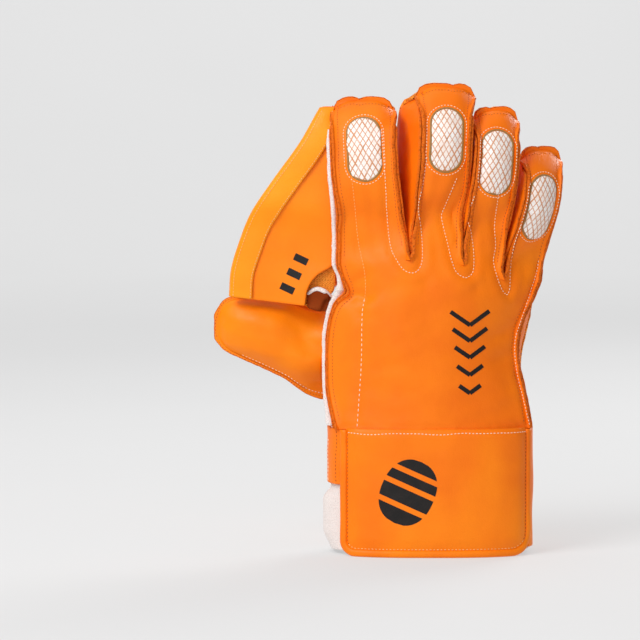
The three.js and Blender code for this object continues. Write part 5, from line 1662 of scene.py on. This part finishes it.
# The line down the index finger: fine gold stitches above, cream tacks below
upper, lower = left_quilt[left_quilt[:, 1] > 158], left_quilt[left_quilt[:, 1] <= 158]
gold_line = laid_on_back(upper, 0.05)
settle(sew("stitches_back_gold", [gold_line], GOLD_THREAD, 2.0, 1.3, 0.46, seed=3), "satin")
tacks = laid_on_back(lower, 0.1)
settle(sew("tacks_back_cream", [tacks], WHITE_THREAD, 3.1, 2.0, 0.6, seed=4), "satin")

thumb_surface = surface_of(pieces["thumb_back"])
seam_lines = [seam_thread(thumb_sheet, thumb_surface, thumb_seam, -1.0)]
for column in (0, -1):
    seam_lines.append(seam_thread(back_sheet, back_surface, back_sheet.hand[2:, column], 2.9))
for strip in back_sheet.strips:
    round_tip = [*strip[2:, 0], *strip[-1, 1:-1], *strip[:1:-1, -1]]
    seam_lines.append(seam_thread(back_sheet, back_surface, round_tip, 2.5))
settle(sew("stitches_seams_orange", seam_lines, ORANGE_THREAD, 2.0, 1.2, 0.44, seed=5), "back_leather")
low_edge = thumb_seam[-len(THUMB_STEPS):]
low_line = seam_thread(thumb_sheet, thumb_surface, low_edge[len(low_edge) // 3:], 1.0)
settle(sew("stitches_thumb_cream", [low_line], WHITE_THREAD, 2.2, 1.5, 0.5, seed=9), "satin")


def tape_line(share):
    """A line along the tape, at a share of its width from the free edge."""
    w = np.linspace(0.01, 0.975, 160)
    front = -WEB_LEATHER - 2 * CLEARANCE - TAPE_LEATHER - 0.5 * math.sin(math.pi * share)
    return web_point(tape_share(w) * share, w, front - 3)


tape_surface = surface_of(pieces["web_tape"], pieces["web_back"])
tape_lines = [along_surface(tape_surface, tape_line(s), AWAY, 0.05) for s in (0.05, 0.93)]
settle(sew("stitches_tape_gold", tape_lines, GOLD_THREAD, 1.9, 1.5, 0.5, seed=6), "tape_leather")


def on_cuff(tree, along, z, sink):
    """A line on the cuff, by its distance along the curve and its height, laid on a piece."""
    far, near = (cuff_point(cuff_wall, along, z, out) for out in (CLEAR_OF_WALL, 0.0))
    found = []
    for p, q in zip(far, near):
        found += along_surface(tree, [p], unit(q - p), sink)
    return found


rim_lines, foot_lines = [], []
turn = np.linspace(0, math.pi / 2, 10)
for name, panel in CUFF_PANELS.items():
    tree = surface_of(pieces[f"cuff_{name}"], pieces[f"cuff_rim_{name}"])
    inset = RIM_WIDTH + 0.6
    left, right = panel["left"] + 0.6, panel["right"] + 0.6
    a, b = panel["start"] + inset, panel["stop"] - inset
    line = [(a, z) for z in np.linspace(CUFF_HEIGHT - 3, inset + left, 40)]
    line += [(a + left - left * math.cos(t), inset + left - left * math.sin(t)) for t in turn]
    line += [(x, inset) for x in np.linspace(a + left, b - right, 90)]
    line += [(b - right + right * math.sin(t), inset + right - right * math.cos(t)) for t in turn]
    line += [(b, z) for z in np.linspace(inset + right, CUFF_HEIGHT - 3, 40)]
    line = np.array(line)
    found = on_cuff(tree, line[:, 0], line[:, 1], 0.05)
    rim_lines += [found[:44], found[-44:]]
    foot_lines.append(found[44:-44])
settle(sew("stitches_rims_orange", rim_lines, ORANGE_THREAD, 2.2, 1.4, 0.5, seed=7), "cuff_leather")
settle(sew("stitches_feet_gold", foot_lines, GOLD_THREAD, 2.2, 1.5, 0.5, seed=10), "cuff_leather")


def side_thread(away, low, high):
    """An upright line on the cuff's thumb-side piece, away from the back panel's rim."""
    z = np.linspace(low, high, 40)
    s = CUFF_PANELS["back"]["start"] - away + 0.5 * np.sin(z / 5)
    return on_cuff(surface_of(pieces["cuff_side_thumb"]), s, z, 0.08)


near_rim, far_from_rim = side_thread(4.0, 46, 76), side_thread(15.0, 46, 70)
settle(sew("stitches_side_orange", [near_rim], ORANGE_THREAD, 2.2, 1.5, 0.5, seed=11), "cuff_leather")
settle(sew("stitches_side_cream", [far_from_rim], WHITE_THREAD, 2.4, 1.9, 0.55, seed=12), "satin")

top_lines = []
for name, panel in CUFF_PANELS.items():
    tree = surface_of(pieces[f"cuff_{name}"])
    for z in ((CUFF_HEIGHT - 1.6,) if name == "back" else (CUFF_HEIGHT - 2.2, CUFF_HEIGHT - 7.0)):
        s = np.linspace(panel["start"] + 4, panel["stop"] - 4, 120)
        wobble = 0.5 * wander(points_of(s, 0, z), 16, 8)
        top_lines.append(on_cuff(tree, s, z + wobble, 0.1))
settle(sew("stitches_cuff_cream", top_lines, WHITE_THREAD, 2.2, 1.6, 0.55, seed=8), "satin")


# Window edging and printed film

def cord_round(i):
    """The narrow stitched binding round a window."""
    ring = round_window(i, stadium(110, 0.1) * 1.03, CLEAR_OF_WALL)
    hits = along_surface(back_surface, ring, -window_frame(i)[3])
    centres = np.array([p - f * 0.15 for p, f in hits])
    faces_out = np.array([f for _, f in hits])
    along = unit(np.roll(centres, -1, 0) - np.roll(centres, 1, 0))
    across = unit(np.cross(along, faces_out))
    angle = np.linspace(0, 2 * np.pi, 8, endpoint=False)[None, :, None]
    swell = 1 + 0.12 * np.sin(np.arange(len(centres)) * 2.4)
    rings = across[:, None] * np.cos(angle) * 0.75 + faces_out[:, None] * np.sin(angle) * 0.42
    return centres[:, None] + rings * swell[:, None, None]


def make_ring(name, rings, material):
    """A tube through rings of places that closes on itself."""
    count, n = rings.shape[:2]
    index = np.arange(count * n).reshape(count, n)
    beside = np.roll(index, -1, 1)
    quads = np.stack([index, beside, np.roll(beside, -1, 0), np.roll(index, -1, 0)], -1)
    return make_mesh(name, rings.reshape(-1, 3), quads.reshape(-1, 4)[:, ::-1], material)


for i, finger in enumerate(FINGERS):
    settle(make_ring(f"binding_{finger['name']}", cord_round(i), BINDING_THREAD), "satin")


def film(name, shapes, tree):
    """Flat printed shapes laid on a piece from the front. A shape is a grid of (x, z) places."""
    places, faces = [], []
    for shape in shapes:
        rows, columns = shape.shape[:2]
        kept = {}
        for j in range(rows):
            for k in range(columns):
                hit = cast(tree, [on_back(*shape[j, k])], AWAY)
                if hit:
                    kept[j, k] = len(places)
                    places.append(hit[0][0] + hit[0][1] * FILM_LIFT)
        for j in range(rows - 1):
            for k in range(columns - 1):
                corners = [(j, k), (j, k + 1), (j + 1, k + 1), (j + 1, k)]
                if all(c in kept for c in corners):
                    faces.append([kept[c] for c in corners])
    made = make_mesh(name, np.array(places), faces, FILM_FINISH)
    change = made.modifiers.new("film", "SOLIDIFY")
    change.thickness, change.offset = 0.00008, -1
    return bake(made)


def band(x0, z0, x1, z1, half, columns=14, rows=4):
    """A straight bar of print between two places, half its width to either side of them."""
    a, b = np.array([x0, z0], float), np.array([x1, z1], float)
    along = unit(b - a)
    across = np.array([-along[1], along[0]])
    t = np.linspace(0, 1, columns)[:, None, None]
    s = np.linspace(-1, 1, rows)[None, :, None]
    return a + (b - a) * t + across * s * half


def chevrons(cx, cz, width, height, count, thick):
    """A stack of nested chevrons that narrows downwards: a plain geometric mark."""
    shapes = []
    for k in range(count):
        share = k / max(count - 1, 1)
        wide = width / 2 * (1 - 0.45 * share)
        top = cz + height / 2 - (height - wide * 0.7) * share
        for side in (-1, 1):
            foot = (cx + side * 0.01, top - wide * 0.7)
            shapes.append(band(cx + side * wide, top, *foot, thick / 2))
    return shapes


def sliced_oval(cx, cz, width, height, tilt=-24):
    """A solid oval cut by slanted open bars: a plain geometric badge."""
    turn = math.radians(tilt)
    shapes = []
    for low, high in ((-0.5, -0.27), (-0.19, 0.03), (0.11, 0.25), (0.33, 0.5)):
        z = np.linspace(low, high, 14)[:, None]
        half = width / 2 * (1 - np.abs(2 * z) ** 2.3) ** (1 / 2.3)
        x = half * np.linspace(-1, 1, 24)[None, :]
        z = z * height + 0 * x
        shapes.append(np.stack([cx + x * math.cos(turn) - z * math.sin(turn),
                                cz + x * math.sin(turn) + z * math.cos(turn)], -1))
    return shapes


cuff_surface = surface_of(pieces["cuff_back"])
settle(film("print_cuff", sliced_oval(-17.5, 40.5, 33, 41), cuff_surface), "back_leather")
settle(film("print_back", chevrons(20.5, 126, 24, 50, 5, 2.6), back_surface), "back_leather")
web_surface = surface_of(pieces["web_back"])
bars = []
for x, z in ((-95.5 + 4.2 * k, 165.5 + 9.0 * k) for k in range(3)):
    bars.append(band(x, z, x + 8.0, z - 3.7, 2.2))
settle(film("print_web", bars, web_surface), "back_leather")


# Studio

def studio():
    """A seamless sweep of paper, closed in front as well, and five soft lights: a key from the
    upper left, one from the front, one from above, one from behind and one for the paper."""
    bend = np.linspace(0, math.pi / 2, 14)
    wall = [(3.2 + 1.6 * math.sin(t), 1.6 - 1.6 * math.cos(t)) for t in bend] + [(4.8, 5.0)]
    profile = [(-y - 1.2, z) for y, z in wall[::-1]] + wall
    verts = [(x, y, z) for y, z in profile for x in (-7.0, 7.0)]
    faces = [(2 * k, 2 * k + 1, 2 * k + 3, 2 * k + 2) for k in range(len(profile) - 1)]
    mesh = bpy.data.meshes.new("sweep")
    mesh.from_pydata(verts, [], faces)
    mesh.materials.append(painted_floor())
    mesh.shade_smooth()
    sweep = bpy.data.objects.new("sweep", mesh)
    bpy.context.scene.collection.objects.link(sweep)
    hand = (0, 0, 0.13)
    # Name, place, what it points at, watts, size in metres and spread in degrees
    lights = [
        ("key", (-1.35, -1.35, 1.75), hand, 42, 1.2, 180),
        ("front", (-0.8, -3.8, 1.3), hand, 21, 2.4, 180),
        ("top", (-0.4, 0.2, 1.9), hand, 6, 1.4, 180),
        ("behind", (1.1, 1.8, 1.1), hand, 7, 1.2, 80),
        ("paper", (0.0, 3.4, 2.9), (0.0, 4.8, 0.9), 50, 2.8, 180),
    ]
    for name, place, aim, power, size, spread in lights:
        lamp = bpy.data.lights.new(name, "AREA")
        lamp.energy, lamp.size, lamp.spread = power, size, math.radians(spread)
        made = bpy.data.objects.new(name, lamp)
        made.location = place
        made.rotation_mode = "QUATERNION"
        made.rotation_quaternion = (Vector(aim) - Vector(place)).to_track_quat("-Z", "Y")
        bpy.context.scene.collection.objects.link(made)
    world = bpy.data.worlds.new("studio")
    world.use_nodes = True
    background = world.node_tree.nodes["Background"]
    background.inputs["Color"].default_value = colour("#F2F2F4")
    background.inputs["Strength"].default_value = 0.3
    bpy.context.scene.world = world


def camera():
    """The photograph's view: level with the hand, 4 degrees down, through a long lens."""
    lens = bpy.data.cameras.new("camera")
    lens.lens, lens.sensor_width = 200.0, 36.0
    made = bpy.data.objects.new("camera", lens)
    # The photograph's width, the glove's middle line and its foot, in pixels, and the mm a pixel
    width, middle, foot, scale = 640, 435, 552, 0.62
    aim = Vector(((width / 2 - middle) * scale + ORIGIN_X, 0, (foot - width / 2) * scale)) / 1000
    down = math.radians(4.0)
    distance = width * scale / 1000 * lens.lens / lens.sensor_width
    made.location = aim + Vector((0, -math.cos(down), math.sin(down))) * distance
    made.rotation_euler = (math.pi / 2 - down, 0, 0)
    bpy.context.scene.collection.objects.link(made)
    bpy.context.scene.camera = made


studio()
camera()
bpy.context.scene.view_settings.view_transform = "Standard"
